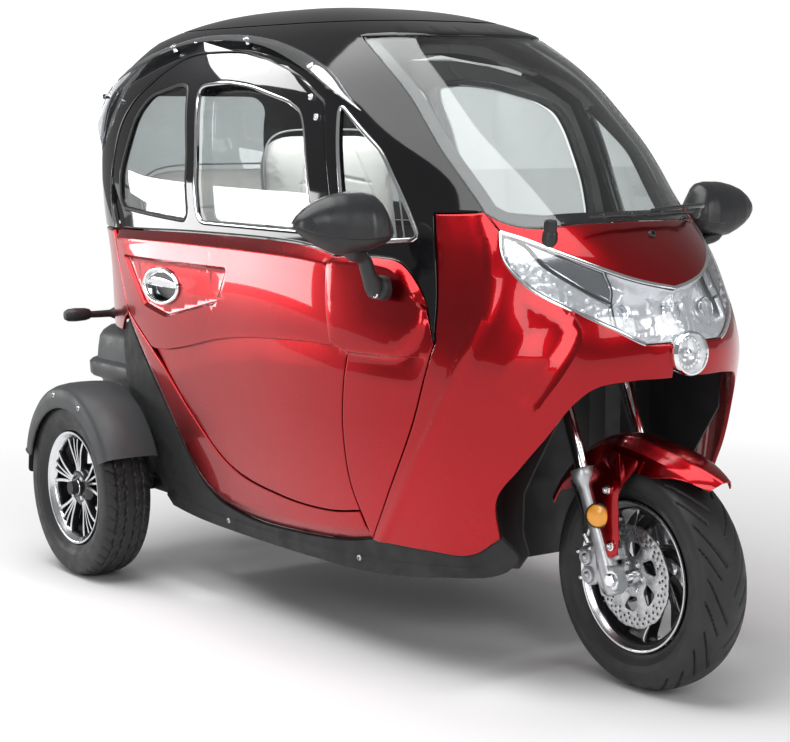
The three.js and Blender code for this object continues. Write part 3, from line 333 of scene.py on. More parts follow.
def across_chart(points, tail=False):
    """[y, z] at the nose or the tail to chart points."""
    made = []
    for y, z in np.asarray(points, float):
        level = float(level_of(z))
        i = np.clip((level - LEVELS[0]) / (LEVELS[1] - LEVELS[0]), 0, len(LEVELS) - 1.001)
        row = Y_TABLE[int(i)]
        top = int(np.argmax(row))
        if tail:
            share = float(np.interp(-abs(y), -row[top:], SHARES[top:]))
        else:
            share = float(np.interp(abs(y), row[: top + 1], SHARES[: top + 1]))
        made.append([share * SPAN, level])
    return np.array(made)


# ---------------------------------------------------------------- mesh pieces
def finish_piece(obj, body, replaces=()):
    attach(obj, body)
    if replaces:
        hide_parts(*replaces)
    return obj


def mesh_piece(name, verts, faces, body, materials, replaces=(), slot=None, marks=None, sharp=38):
    """A mesh object from design millimetres. marks gives each face its material's number."""
    mesh = bpy.data.meshes.new(name)
    mesh.from_pydata(metres(verts).tolist(), [], [list(map(int, f)) for f in faces])
    mesh.update()
    materials = materials if isinstance(materials, (list, tuple)) else [materials]
    for m in materials:
        mesh.materials.append(m)
    if marks is not None:
        mesh.polygons.foreach_set("material_index", np.asarray(marks, np.int32))
    mesh.shade_smooth()
    if sharp:
        mesh.set_sharp_from_angle(angle=math.radians(sharp))
    obj = bpy.data.objects.new(name, mesh)
    bpy.context.scene.collection.objects.link(obj)
    return finish_piece(obj, body, replaces)


def mirrored(verts, faces):
    """A right-hand shape made left-hand."""
    return verts * [1, -1, 1], [f[::-1] for f in faces]


class Build:
    """Gathers shapes into one mesh, each with its material's number."""

    def __init__(self):
        self.verts, self.faces, self.marks = [], [], []
        self.count = 0

    def add(self, verts, faces, mark=0):
        verts = np.asarray(verts, float).reshape(-1, 3)
        self.verts.append(verts)
        self.faces += [[int(i) + self.count for i in f] for f in faces]
        self.marks += [mark] * len(faces)
        self.count += len(verts)
        return self

    def turned_to(self, at, axis, verts, faces, mark=0, spin=0.0):
        """Adds a shape drawn about +Z, with its origin at a point and +Z along an axis."""
        turn = Vector(axis).to_track_quat("Z", "Y").to_matrix() @ Matrix.Rotation(spin, 3, "Z")
        return self.add(np.asarray(verts) @ np.array(turn).T + np.asarray(at, float), faces, mark)

    def piece(self, name, body, materials, side=1, **options):
        verts = np.vstack(self.verts)
        faces = self.faces
        if side < 0:
            verts, faces = mirrored(verts, faces)
        return mesh_piece(name, verts, faces, body, materials, marks=self.marks, **options)


def grid_faces(rows, columns, close_rows=False, close_columns=False):
    """Four-sided faces over a grid of vertices stored row by row."""
    faces = []
    for i in range(rows if close_rows else rows - 1):
        for j in range(columns if close_columns else columns - 1):
            a, b = i * columns + j, i * columns + (j + 1) % columns
            c, d = ((i + 1) % rows) * columns + j, ((i + 1) % rows) * columns + (j + 1) % columns
            faces.append([a, b, d, c])
    return faces


def lathe(profile, segments=48, closed=False):
    """A profile of [radius, z] turned about Z. A radius of 0 closes it to a point."""
    profile = np.asarray(profile, float)
    angle = np.linspace(0, 2 * math.pi, segments, endpoint=False)
    c, s = np.cos(angle), np.sin(angle)
    verts = np.stack(
        [np.outer(profile[:, 0], c), np.outer(profile[:, 0], s),
         np.outer(profile[:, 1], np.ones(segments))], axis=2
    )
    return verts.reshape(-1, 3), grid_faces(len(profile), segments, closed, True)


def tube(path, radius, sides=16, caps=True):
    """A round bar along a path. radius is one number or one for each point."""
    p = np.asarray(path, float)
    n = len(p)
    r = np.full(n, radius, float) if np.isscalar(radius) else np.asarray(radius, float)
    ahead = np.gradient(p, axis=0)
    ahead /= np.maximum(np.linalg.norm(ahead, axis=1), 1e-9)[:, None]
    first = np.cross(ahead[0], [0.3, 0.2, 1.0])
    u = first / np.linalg.norm(first)
    angle = np.linspace(0, 2 * math.pi, sides, endpoint=False)
    rings = []
    for i in range(n):
        u = u - ahead[i] * (u @ ahead[i])
        u /= np.linalg.norm(u)
        w = np.cross(ahead[i], u)
        rings.append(p[i] + r[i] * (np.outer(np.cos(angle), u) + np.outer(np.sin(angle), w)))
    verts = np.vstack(rings)
    faces = grid_faces(n, sides, False, True)
    if caps:
        faces += [list(range(sides))[::-1], [(n - 1) * sides + i for i in range(sides)]]
    return verts, faces


def block(size, bevel=2.0, segments=2):
    """A box about the origin with rounded edges."""
    bm = bmesh.new()
    bmesh.ops.create_cube(bm, size=1.0)
    bmesh.ops.scale(bm, vec=Vector(size), verts=bm.verts)
    bmesh.ops.bevel(bm, geom=bm.edges, offset=bevel, segments=segments, affect="EDGES", profile=0.5)
    bm.verts.ensure_lookup_table()
    verts = np.array([v.co for v in bm.verts])
    faces = [[v.index for v in f.verts] for f in bm.faces]
    bm.free()
    return verts, faces


def bolt_head(radius, height, socket=0.5):
    """A domed screw head with a socket in it, standing on z = 0."""
    profile = [
        [radius * 1.0, 0], [radius, height * 0.55], [radius * 0.86, height * 0.9], [radius * 0.7, height],
        [radius * socket, height], [radius * socket * 0.92, height * 0.4], [0.01, height * 0.35],
    ]
    return lathe(profile, 20)


def hex_nut(radius, height):
    """A hexagon nut with a chamfered top and a stud through it."""
    verts, faces = lathe([[radius, 0], [radius, height * 0.82], [radius * 0.84, height],
                          [radius * 0.5, height]], 6)
    return verts, faces + [[18 + i for i in range(6)]]


def outline_plate(outline, low, high, bevel=1.5, holes=()):
    """A flat plate from a closed 2-D outline between two heights, with bevelled top edges and holes."""
    loops = [outline] + list(holes)
    verts, faces = [], []
    count = 0
    top_loops = []
    for k, loop in enumerate(loops):
        loop = np.asarray(loop, float)
        if (area_of(loop) > 0) != (k == 0):
            loop = loop[::-1]
        grow = -1 if k else 1
        rings = [(0, low + bevel), (0, high - bevel), (bevel * 0.3, high - bevel * 0.3), (bevel, high)]
        bottom = [(bevel, low)]
        for inset, z in bottom + rings:
            moved = drawn_in(loop, grow * inset) if inset else loop
            verts.append(np.column_stack([moved, np.full(len(moved), z)]))
        n = len(loop)
        for r in range(4):
            for i in range(n):
                a, b = count + r * n + i, count + r * n + (i + 1) % n
                faces.append([a, b, b + n, a + n])
        top_loops.append((count, n, drawn_in(loop, grow * bevel)))
        count += 5 * n
    points = np.vstack([t[2] for t in top_loops])
    starts = np.cumsum([0] + [len(t[2]) for t in top_loops])
    edges = []
    for k, t in enumerate(top_loops):
        n = len(t[2])
        edges += [(int(starts[k]) + i, int(starts[k]) + (i + 1) % n) for i in range(n)]
    flat, _, tris, origin, _, _ = delaunay_2d_cdt([Vector(p) for p in points], edges, [], 0, 1e-6)
    ids = {}
    for i, sources in enumerate(origin):
        if sources:
            k = int(np.searchsorted(starts, sources[0], side="right")) - 1
            ids[i] = (top_loops[k][0], top_loops[k][1], sources[0] - int(starts[k]))
    flat = np.array(flat)
    centres = np.array([flat[list(t)].mean(axis=0) for t in tris])
    keep = inside(centres, top_loops[0][2])
    for t in top_loops[1:]:
        keep &= ~inside(centres, t[2])
    for t, wanted in zip(tris, keep):
        if wanted and all(i in ids for i in t):
            top = [ids[i][0] + 4 * ids[i][1] + ids[i][2] for i in t]
            base = [ids[i][0] + ids[i][2] for i in t]
            faces.append(top)
            faces.append(base[::-1])
    return np.vstack(verts), faces


# ---------------------------------------------------------------- panels on the master surface
def line_feature(line, profile, closed=False, fade=(0, 0)):
    """A raised or sunk line: profile is [[distance to its left, height], ...]; fade tapers its open ends."""
    return {"line": np.asarray(line, float), "profile": np.asarray(profile, float), "closed": closed,
            "fade": fade}


def feature_height(points, feature):
    """How far a line feature raises the skin at chart points."""
    gap, side, along = distance_to(points, feature["line"], feature["closed"])
    profile = feature["profile"]
    if feature["closed"]:
        side = np.where(inside(points, feature["line"]), 1.0, -1.0)
    height = np.interp(gap * side, profile[:, 0], profile[:, 1])
    line = feature["line"]
    total = float(np.sum(np.linalg.norm(np.diff(line, axis=0), axis=1)))
    for reach, from_end in zip(feature["fade"], (along, total - along)):
        if reach:
            height = height * blend(from_end, 0, reach)
    return height


def trimmed(line, loops, margin):
    """The runs of a line that stay inside an outline, clear of its loops."""
    ok = inside(line, loops[0])
    for loop in loops[1:]:
        ok &= ~inside(line, loop)
    edge = np.vstack(loops)
    gap = np.min(np.linalg.norm(line[:, None] - edge[None], axis=2), axis=1)
    ok &= gap > margin
    runs, current = [], []
    for point, good in zip(line, ok):
        if good:
            current.append(point)
        elif current:
            runs.append(current)
            current = []
    if current:
        runs.append(current)
    return [np.array(r) for r in runs if len(r) > 1]


class Panel:
    """A skin on the body from a closed chart outline: rolled edges, relief, and a back."""

    def __init__(self, outline, holes=(), cell=16, inset=0.0, thick=3.0, roll=1.6, flange=7.0, features=(),
                 relief=None, gap=SHUT_GAP / 2, hole_gap=0.0, whole=False):
        self.inset, self.thick, self.relief, self.features = inset, thick, relief, features
        outline = np.asarray(outline, float)
        if area_of(outline) < 0:
            outline = outline[::-1]
        centre = np.zeros(len(outline), bool)
        if whole:
            centre = (outline[:, 0] < 0.6) | (outline[:, 0] > SPAN - 0.6)
        loops = []
        for inward in (0, roll * 0.3, roll, roll + 3.0):
            moved = drawn_in(outline, gap + inward)
            moved[centre, 0] = outline[centre, 0]
            loops.append([moved])
        for hole in holes:
            hole = np.asarray(hole, float)
            if area_of(hole) > 0:
                hole = hole[::-1]
            for k, inward in enumerate((0, roll * 0.3, roll, roll + 3.0)):
                loops[k].append(drawn_in(hole, -(hole_gap + inward)))
        self.verts_chart, self.depth, self.faces = [], [], []
        sizes = [len(loop) for loop in loops[0]]
        starts = np.cumsum([0] + sizes)
        per_ring = int(starts[-1])
        for k, depth in enumerate((roll, roll * 0.29, 0.0, 0.0)):
            self.verts_chart.append(np.vstack(loops[k]))
            self.depth.append(np.full(per_ring, depth))
        centre_all = np.concatenate([centre] + [np.zeros(n, bool) for n in sizes[1:]])
        edge_pairs = []
        for k, n in enumerate(sizes):
            edge_pairs += [(int(starts[k]) + i, int(starts[k]) + (i + 1) % n) for i in range(n)]
        outer_faces = []
        self.rim = [(a, b) for a, b in edge_pairs if not (centre_all[a] and centre_all[b])]
        for a, b in self.rim:
            for r in range(3):
                outer_faces.append([a + r * per_ring, b + r * per_ring, b + (r + 1) * per_ring,
                                    a + (r + 1) * per_ring])
        last = loops[3]
        boundary = np.vstack(last)
        low, high = boundary.min(axis=0), boundary.max(axis=0)
        xs = np.arange(low[0] + cell * 0.6, high[0], cell)
        rows = np.arange(low[1] + cell * 0.6, high[1], cell * 0.87)
        points = np.array([[x + (cell / 2 if r % 2 else 0), z] for r, z in enumerate(rows) for x in xs])
        lines = []
        for feature in features:
            for d in feature["profile"][:, 0]:
                shifted = feature["line"]
                if abs(d) > 1e-6:
                    shifted = self.shifted(feature["line"], d, feature["closed"])
                if feature["closed"]:
                    shifted = np.vstack([shifted, shifted[:1]])
                lines += trimmed(shifted, last, 2.5)
        if len(points):
            ok = inside(points, last[0])
            for hole in last[1:]:
                ok &= ~inside(points, hole)
            gap_to_edge = np.min(np.linalg.norm(points[:, None] - boundary[None], axis=2), axis=1)
            ok &= gap_to_edge > cell * 0.45
            for line in lines:
                ok &= distance_to(points, line)[0] > 3.5
            points = points[ok]
        stack = [boundary, points] + lines
        edges = list(edge_pairs)
        at = len(boundary) + len(points)
        for line in lines:
            edges += [(at + i, at + i + 1) for i in range(len(line) - 1)]
            at += len(line)
        flat_in = np.vstack([s for s in stack if len(s)])
        flat, _, tris, origin, _, _ = delaunay_2d_cdt([Vector(p) for p in flat_in], edges, [], 0, 1e-5)
        flat = np.array([[v[0], v[1]] for v in flat])
        centres = np.array([flat[list(t)].mean(axis=0) for t in tris])
        keep = inside(centres, last[0])
        for hole in last[1:]:
            keep &= ~inside(centres, hole)
        ids = np.zeros(len(flat), int)
        extra = []
        base = 4 * per_ring
        for i, sources in enumerate(origin):
            ring_source = [k for k in sources if k < per_ring]
            if ring_source:
                ids[i] = 3 * per_ring + ring_source[0]
            else:
                ids[i] = base + len(extra)
                extra.append(flat[i])
        if extra:
            self.verts_chart.append(np.array(extra))
            self.depth.append(np.zeros(len(extra)))
        outer_faces += [[int(ids[i]) for i in t] for t, wanted in zip(tris, keep) if wanted]
        self.chart = np.vstack(self.verts_chart)
        self.depths = np.concatenate(self.depth)
        self.outer_faces = outer_faces
        self.per_ring, self.flange, self.whole = per_ring, flange, whole

    @staticmethod
    def shifted(line, d, closed):
        if closed:
            return drawn_in(line, d)
        ahead = np.gradient(line, axis=0)
        ahead /= np.maximum(np.linalg.norm(ahead, axis=1), 1e-9)[:, None]
        return line + np.column_stack([-ahead[:, 1], ahead[:, 0]]) * d

    def height(self, chart):
        total = np.zeros(len(chart))
        for feature in self.features:
            total += feature_height(chart, feature)
        if self.relief is not None:
            total += self.relief(chart)
        return total

    def solid(self):
        """The panel's right-hand mesh, as places and faces."""
        place, normal = on_body(self.chart), body_normal(self.chart)
        lift = self.height(self.chart) - self.inset
        outer = place + normal * (lift - self.depths)[:, None]
        back_depth = np.full(len(outer), self.thick)
        back_depth[: self.per_ring] = self.flange
        back_depth[self.per_ring : 2 * self.per_ring] = self.flange
        inner = place + normal * (lift - back_depth)[:, None]
        n = len(outer)
        outer_faces = [f[::-1] for f in self.outer_faces]
        faces = outer_faces + [[i + n for i in f[::-1]] for f in outer_faces]
        faces += [[b, a, a + n, b + n][::-1] for a, b in self.rim]
        verts = np.vstack([outer, inner])
        if self.whole:
            left, left_faces = mirrored(verts, faces)
            count = len(verts)
            middle = np.abs(verts[:, 1]) < 1e-3
            ids = np.where(middle, np.arange(count), np.arange(count) + count)
            faces = faces + [[int(ids[i]) for i in f] for f in left_faces]
            verts = np.vstack([verts, left])
        used = np.unique(np.concatenate([np.asarray(f) for f in faces]))
        renumber = np.full(len(verts), -1)
        renumber[used] = np.arange(len(used))
        faces = [[int(renumber[i]) for i in f] for f in faces]
        faces = [f for f in faces if len(set(f)) == len(f)]
        return verts[used], faces

    def piece(self, name, body, material, side=1, **options):
        verts, faces = self.solid()
        if side < 0:
            verts, faces = mirrored(verts, faces)
        return mesh_piece(name, verts, faces, body, material, **options)


def bead(line, radius, lift, sides=8, flat=1.0, closed=True):
    """A strip of round or flattened section lying along a chart line, lifted off the body."""
    place, normal = on_body(line), body_normal(line)
    centre = place + normal * np.reshape(lift, (-1, 1))
    if closed:
        ahead = np.roll(centre, -1, axis=0) - np.roll(centre, 1, axis=0)
    else:
        ahead = np.gradient(centre, axis=0)
    ahead /= np.maximum(np.linalg.norm(ahead, axis=1), 1e-9)[:, None]
    across = np.cross(normal, ahead)
    across /= np.maximum(np.linalg.norm(across, axis=1), 1e-9)[:, None]
    angle = np.linspace(0, 2 * math.pi, sides, endpoint=False)
    rings = [centre + radius * (math.cos(a) * across + math.sin(a) * flat * normal) for a in angle]
    verts = np.stack(rings, axis=1).reshape(-1, 3)
    faces = grid_faces(len(line), sides, closed, True)
    if not closed:
        faces += [list(range(sides))[::-1], [(len(line) - 1) * sides + i for i in range(sides)]]
    return verts, faces


# ---------------------------------------------------------------- finishes
def node_material(name):
    m = bpy.data.materials.new(name)
    m.use_nodes = True
    tree = m.node_tree
    tree.nodes.clear()
    out = tree.nodes.new("ShaderNodeOutputMaterial")
    return m, tree, out


def noise_of(tree, scale, detail=3.0, stretch=None):
    coords = tree.nodes.new("ShaderNodeTexCoord")
    noise = tree.nodes.new("ShaderNodeTexNoise")
    noise.inputs["Scale"].default_value = scale
    noise.inputs["Detail"].default_value = detail
    if stretch:
        mapping = tree.nodes.new("ShaderNodeMapping")
        mapping.inputs["Scale"].default_value = stretch
        tree.links.new(coords.outputs["Object"], mapping.inputs["Vector"])
        tree.links.new(mapping.outputs["Vector"], noise.inputs["Vector"])
    else:
        tree.links.new(coords.outputs["Object"], noise.inputs["Vector"])
    return noise.outputs["Fac"]


def ranged(tree, value, low, high, from_low=0.35, from_high=0.65):
    node = tree.nodes.new("ShaderNodeMapRange")
    node.inputs["From Min"].default_value = from_low
    node.inputs["From Max"].default_value = from_high
    node.inputs["To Min"].default_value = low
    node.inputs["To Max"].default_value = high
    tree.links.new(value, node.inputs["Value"])
    return node.outputs["Result"]


def colour_between(tree, value, first, second):
    ramp = tree.nodes.new("ShaderNodeValToRGB")
    ramp.color_ramp.elements[0].position = 0.35
    ramp.color_ramp.elements[1].position = 0.65
    ramp.color_ramp.elements[0].color = (*first, 1)
    ramp.color_ramp.elements[1].color = (*second, 1)
    tree.links.new(value, ramp.inputs["Fac"])
    return ramp.outputs["Color"]


def bumped(tree, value, strength, distance):
    bump = tree.nodes.new("ShaderNodeBump")
    bump.inputs["Strength"].default_value = strength
    bump.inputs["Distance"].default_value = distance
    tree.links.new(value, bump.inputs["Height"])
    return bump.outputs["Normal"]


def finish_of(name, colour, rough, metal=0.0, coat=0.0, vary=0.12, patches=6.0, rough_vary=0.15,
              grain=None, grain_kind="noise", stretch=None, specular=0.5, sheen=0.0):
    """A procedural finish whose colour and roughness wander. grain is (scale, strength, depth)."""
    m, tree, out = node_material(name)
    shader = tree.nodes.new("ShaderNodeBsdfPrincipled")
    shader.inputs["Metallic"].default_value = metal
    shader.inputs["Coat Weight"].default_value = coat
    shader.inputs["Coat Roughness"].default_value = 0.03
    shader.inputs["Specular IOR Level"].default_value = specular
    shader.inputs["Sheen Weight"].default_value = sheen
    wander = noise_of(tree, patches, 4.0, stretch)
    low = tuple(c * (1 - vary) for c in colour)
    high = tuple(min(c * (1 + vary), 1) for c in colour)
    tree.links.new(colour_between(tree, wander, low, high), shader.inputs["Base Color"])
    second = noise_of(tree, patches * 3.7, 3.0, stretch)
    tree.links.new(ranged(tree, second, rough * (1 - rough_vary), rough * (1 + rough_vary)),
                   shader.inputs["Roughness"])
    if grain:
        scale, strength, depth = grain
        if grain_kind == "leather":
            coords = tree.nodes.new("ShaderNodeTexCoord")
            cells = tree.nodes.new("ShaderNodeTexVoronoi")
            cells.feature = "SMOOTH_F1"
            cells.inputs["Scale"].default_value = scale
            tree.links.new(coords.outputs["Object"], cells.inputs["Vector"])
            value = cells.outputs["Distance"]
        else:
            value = noise_of(tree, scale, 2.0, stretch)
        tree.links.new(bumped(tree, value, strength, depth), shader.inputs["Normal"])
    tree.links.new(shader.outputs["BSDF"], out.inputs["Surface"])
    return m


def clear_finish(name, tint, gloss=0.03, share=1.0, haze=0.0):
    """A pane that lets light through, tinted, with a Fresnel reflection."""
    m, tree, out = node_material(name)
    through = tree.nodes.new("ShaderNodeBsdfTransparent")
    wander = noise_of(tree, 3.0)
    low, high = tuple(c * 0.97 for c in tint), tint
    tree.links.new(colour_between(tree, wander, low, high), through.inputs["Color"])
    mirror = tree.nodes.new("ShaderNodeBsdfGlossy")
    mirror.inputs["Roughness"].default_value = gloss
    mirror.inputs["Color"].default_value = (share, share, share, 1)
    facing = tree.nodes.new("ShaderNodeLayerWeight")
    facing.inputs["Blend"].default_value = 0.5
    steep = tree.nodes.new("ShaderNodeMath")
    steep.operation = "POWER"
    steep.inputs[1].default_value = 4.5
    tree.links.new(facing.outputs["Facing"], steep.inputs[0])
    weight = ranged(tree, steep.outputs["Value"], 0.04 + haze, 1.0, 0.0, 1.0)
    mix = tree.nodes.new("ShaderNodeMixShader")
    tree.links.new(weight, mix.inputs["Fac"])
    tree.links.new(through.outputs["BSDF"], mix.inputs[1])
    tree.links.new(mirror.outputs["BSDF"], mix.inputs[2])
    tree.links.new(mix.outputs["Shader"], out.inputs["Surface"])
    return m


PAINT = finish_of("candy_red_paint", (0.40, 0.0012, 0.006), 0.28, metal=0.97, coat=0.62, vary=0.07,
                  patches=1.6, grain=(2600, 0.035, 0.0004))
BLACK = finish_of("gloss_black", (0.006, 0.006, 0.007), 0.06, vary=0.15, patches=2.5)
CRYSTAL = finish_of("lamp_crystal", (0.90, 0.91, 0.93), 0.20, metal=0.6, coat=1.0, vary=0.04, patches=60,
                    grain=(70, 0.45, 0.003), grain_kind="leather")
LAMP_NOTCH = 37.0
FRIT = finish_of("screen_border_black", (0.008, 0.008, 0.009), 0.22, vary=0.2, patches=40)
PLASTIC = finish_of("grey_moulded_plastic", (0.050, 0.052, 0.055), 0.50, vary=0.10, patches=5,
                    grain=(1500, 0.10, 0.0006))
# A darker copy of the grey moulded plastic, kept for the sill: painted shade, darker than the same plastic on
# the cover and the mudguards.
SHADED_SILL_PLASTIC = finish_of("sill_plastic_painted_shade", (0.013, 0.014, 0.015), 0.66, vary=0.10, patches=5,
                         grain=(1500, 0.10, 0.0006))
DARK = finish_of("black_moulded_plastic", (0.020, 0.020, 0.021), 0.42, vary=0.12, patches=7,
                 grain=(1300, 0.10, 0.0005))
SATIN = finish_of("satin_black_plastic", (0.024, 0.025, 0.027), 0.30, vary=0.10, patches=6,
                  grain=(1800, 0.05, 0.0004))
CARPET = finish_of("ribbed_floor_mat", (0.020, 0.020, 0.021), 0.8, vary=0.2, patches=12,
                   grain=(420, 0.5, 0.0016))
RUBBER = finish_of("tyre_rubber", (0.017, 0.017, 0.018), 0.50, vary=0.2, patches=9, grain=(700, 0.2, 0.0007))
SEAL = finish_of("rubber_seal", (0.012, 0.012, 0.012), 0.55, vary=0.15, patches=20)
CHROME = finish_of("bright_chrome", (0.86, 0.87, 0.88), 0.07, metal=1.0, vary=0.03, patches=14)
HANDLE_BOWL = finish_of("handle_bowl_chrome", (0.42, 0.43, 0.44), 0.12, metal=1.0, vary=0.05, patches=14)
TRIM = finish_of("polished_trim", (0.80, 0.81, 0.82), 0.14, metal=1.0, vary=0.05, patches=10)
ALLOY = finish_of("machined_alloy", (0.74, 0.75, 0.77), 0.22, metal=1.0, vary=0.06, patches=40,
                  stretch=(1, 8, 1))
CAST = finish_of("cast_silver", (0.58, 0.59, 0.61), 0.38, metal=0.85, vary=0.08, patches=25,
                 grain=(800, 0.12, 0.0006))
STEEL = finish_of("brushed_steel", (0.55, 0.56, 0.57), 0.30, metal=1.0, vary=0.08, patches=60,
                  stretch=(1, 6, 1))
FRAME = finish_of("frame_steel_paint", (0.022, 0.022, 0.024), 0.45, metal=0.3, vary=0.18, patches=9,
                  grain=(300, 0.08, 0.001))
RIM_BLACK = finish_of("rim_gloss_black", (0.012, 0.012, 0.013), 0.18, coat=0.4, vary=0.15, patches=18)
REFLECTOR = finish_of("lamp_reflector", (0.95, 0.95, 0.96), 0.22, metal=0.55, vary=0.04, patches=20)
LAMP_GREY = finish_of("lamp_insert", (0.50, 0.51, 0.53), 0.12, metal=0.95, coat=0.5, vary=0.08, patches=10)
LEATHER = finish_of("light_seat_leather", (0.56, 0.55, 0.53), 0.46, vary=0.05, patches=8,
                    grain=(420, 0.35, 0.0012), grain_kind="leather")
STITCH = finish_of("seat_piping", (0.25, 0.25, 0.25), 0.5, vary=0.1, patches=60, grain=(1600, 0.5, 0.0006))
AMBER = finish_of("amber_reflector", (0.95, 0.36, 0.01), 0.14, coat=1.0, vary=0.12, patches=30,
                  grain=(520, 0.5, 0.001))
MIRROR_GLASS = finish_of("mirror_glass", (0.80, 0.82, 0.84), 0.02, metal=1.0, vary=0.02, patches=4)
GLASS = clear_finish("window_glass", (0.93, 0.95, 0.95))
SIDE_GLASS = clear_finish("side_window_glass", (0.78, 0.80, 0.80), haze=0.01)
LENS = clear_finish("lamp_lens", (0.97, 0.98, 0.99), haze=0.02)
ACRYLIC = clear_finish("rain_strip_acrylic", (0.72, 0.74, 0.76), gloss=0.08, haze=0.34)

# ---------------------------------------------------------------- shared lines of the body, as [x, z]
LAMP_CORNER, SCREEN_CORNER = [1482, 988], [1436, 1026]
PILLAR_HEAD, PILLAR_WAIST = [1336, 1023], [1396, 748]
SILL_FRONT, SHUT_CORNER = [1180, 288], [1080, 920]
JOG_BACK, JOG_FRONT = [1101, 730], [1142, 716]
DOOR_FRONT_FOOT, DOOR_BACK_FOOT = [1155, 352], [123, 721]
SURROUND_BACK, BELT_BACK = [98, 697], [-12, 930]
COWL_CORNER, ARCH_FOOT = [1612, 1010], [1518, 337]
SILL_BACK, SASH_FRONT = [250, 210], [958, 1262]
SCREEN_TOP, LAMP_TOP_END = [937, 1411], [1722, 874]
LAMP_FOOT_END, ARCH_TOP = [1750, 764], [1743, 688]
# Outlines reach the centre line by going past the nose or the tail.
PAST_NOSE, PAST_LAMP, PAST_TAIL = 1800, 1850, -460
SCREEN_TOP_Z = 1412
PILLAR_TOP = curve([PILLAR_HEAD, [1370, 926], [1388, 842], PILLAR_WAIST])
PILLAR_FOOT = curve([PILLAR_WAIST, [1334, 558], [1242, 385], SILL_FRONT])
SCREEN_EDGE = curve([SCREEN_TOP, [1058, 1350], [1156, 1286], [1303, 1156], SCREEN_CORNER])
SCREEN_BASE = curve([SCREEN_CORNER, [1480, 1006], [1536, 996], [1570, 1005], COWL_CORNER])
COWL_LINE = curve([COWL_CORNER, [PAST_NOSE, 1010]])
LAMP_TOP = curve([LAMP_CORNER, [1532, 973], [1600, 945], [1655, 919], [1712, 884], LAMP_TOP_END], 8)
LAMP_BOTTOM = curve([LAMP_CORNER, [1515, 927], [1575, 876], [1665, 828], [1722, 792], LAMP_FOOT_END], 8)
ARCH_EDGE = curve([ARCH_FOOT, [1526, 426], [1575, 496], [1622, 563], [1671, 639], [1706, 676], ARCH_TOP])
FAIRING_FOOT = curve([SILL_FRONT, [1350, 288], [1448, 292], ARCH_FOOT])
SHUT_TOP = curve([SHUT_CORNER, [1062, 892], JOG_BACK], 9)
SHUT_JOG = curve([JOG_BACK, JOG_FRONT], 9)
SHUT_FOOT = curve([JOG_FRONT, [1125, 557], [1133, 420], DOOR_FRONT_FOOT])
BELT_FRONT = curve([SHUT_CORNER, [1223, 925], [1280, 917], [1336, 871], [1359, 840], PILLAR_WAIST])
BELT_DOOR = curve([BELT_BACK, [468, 944], [955, 940], SHUT_CORNER])
DOOR_FOOT = curve([DOOR_FRONT_FOOT, [1044, 336], [841, 339], [621, 379], [452, 496], [312, 608],
                   DOOR_BACK_FOOT])
DOOR_TAIL = curve([DOOR_BACK_FOOT, BELT_BACK])
SURROUND = curve(
    [SURROUND_BACK, [289, 501], [390, 370], [450, 304], [510, 271], [671, 247], [855, 250], [1082, 268],
     SILL_FRONT]
)
FRAME_TOP = curve(
    [
        BELT_BACK, [-50, 1000], [-66, 1080], [-40, 1190], [25, 1262], [108, 1312], [180, 1352], [251, 1380],
        [400, 1388], [563, 1380], [700, 1355], [839, 1318], SASH_FRONT,
    ]
)
FRAME_FRONT = curve([SASH_FRONT, [1050, 1000], SHUT_CORNER])
SILL_FOOT = curve(
    [ARCH_FOOT, [1540, 290], [1498, 252], [1360, 228], [1181, 208], [900, 200], [420, 200], SILL_BACK]
)
SILL_TAIL = curve([SILL_BACK, [110, 330], [40, 470], [34, 640], SURROUND_BACK])
REAR_PANE = [[-4, 984], [410, 968], [385, 1130], [326, 1306], [279, 1313], [127, 1284], [58, 1230],
             [-6, 1090]]
MAIN_PANE = [
    [452, 968], [979, 968], [945, 1090], [906, 1197], [880, 1240], [820, 1266], [632, 1304], [500, 1316],
    [372, 1308], [420, 1130],
]
QUARTER_PANE = [[1106, 948], [1320, 966], [1175, 1150], [1010, 1258]]


def back(line):
    return line[::-1]


def on_side(x, z):
    """The place on the body's right-hand side at [x, z], and the outward direction there."""
    chart = chart_of([[x, z]])
    return on_body(chart)[0], body_normal(chart)[0]


def closed_chart(*lines):
    """Lines of [x, z] laid end to end, carried to the chart."""
    return chart_of(chain(*lines))


# ---------------------------------------------------------------- red panels
CHARACTER = curve(
    [[1150, 716], [1091, 722], [1000, 724], [860, 718], [728, 708], [600, 690], [450, 658], [330, 640],
     [250, 641], [190, 660]], 8
)
POCKET = rounded([[78, 866], [655, 868], [612, 776], [356, 722], [232, 742]], 12, 8)
POD = rounded([[1060, 934], [1085, 712], [1309, 712], [1366, 772], [1362, 862], [1300, 934]], 34, 8)
BELT_LINE = curve([[-40, 902], [200, 909], [468, 913], [955, 909], [1100, 897]], 10)
STEP_DOWN = [[-9, 0], [0, 0.5], [4, -9], [14, -8], [60, -3], [170, 0]]


def door_features():
    step = line_feature(chart_of(back(CHARACTER)), STEP_DOWN, fade=(40, 0))
    pocket = line_feature(chart_of(POCKET), [[0, 0], [1.5, -1.2], [7, -8.5], [9, -9.5], [80, -11]],
                          closed=True)
    shoulder = line_feature(chart_of(back(BELT_LINE)), [[-6, 0], [0, 0.8], [4, -0.5], [30, -19]])
    return [step, pocket, shoulder]


def handle_oval(grow=0.0):
    x, z, a, b = HANDLE
    t = np.linspace(0, 2 * math.pi, 48, endpoint=False)
    return chart_of(np.column_stack([x + (a + grow) * np.cos(t), z + (b + grow) * np.sin(t)]))


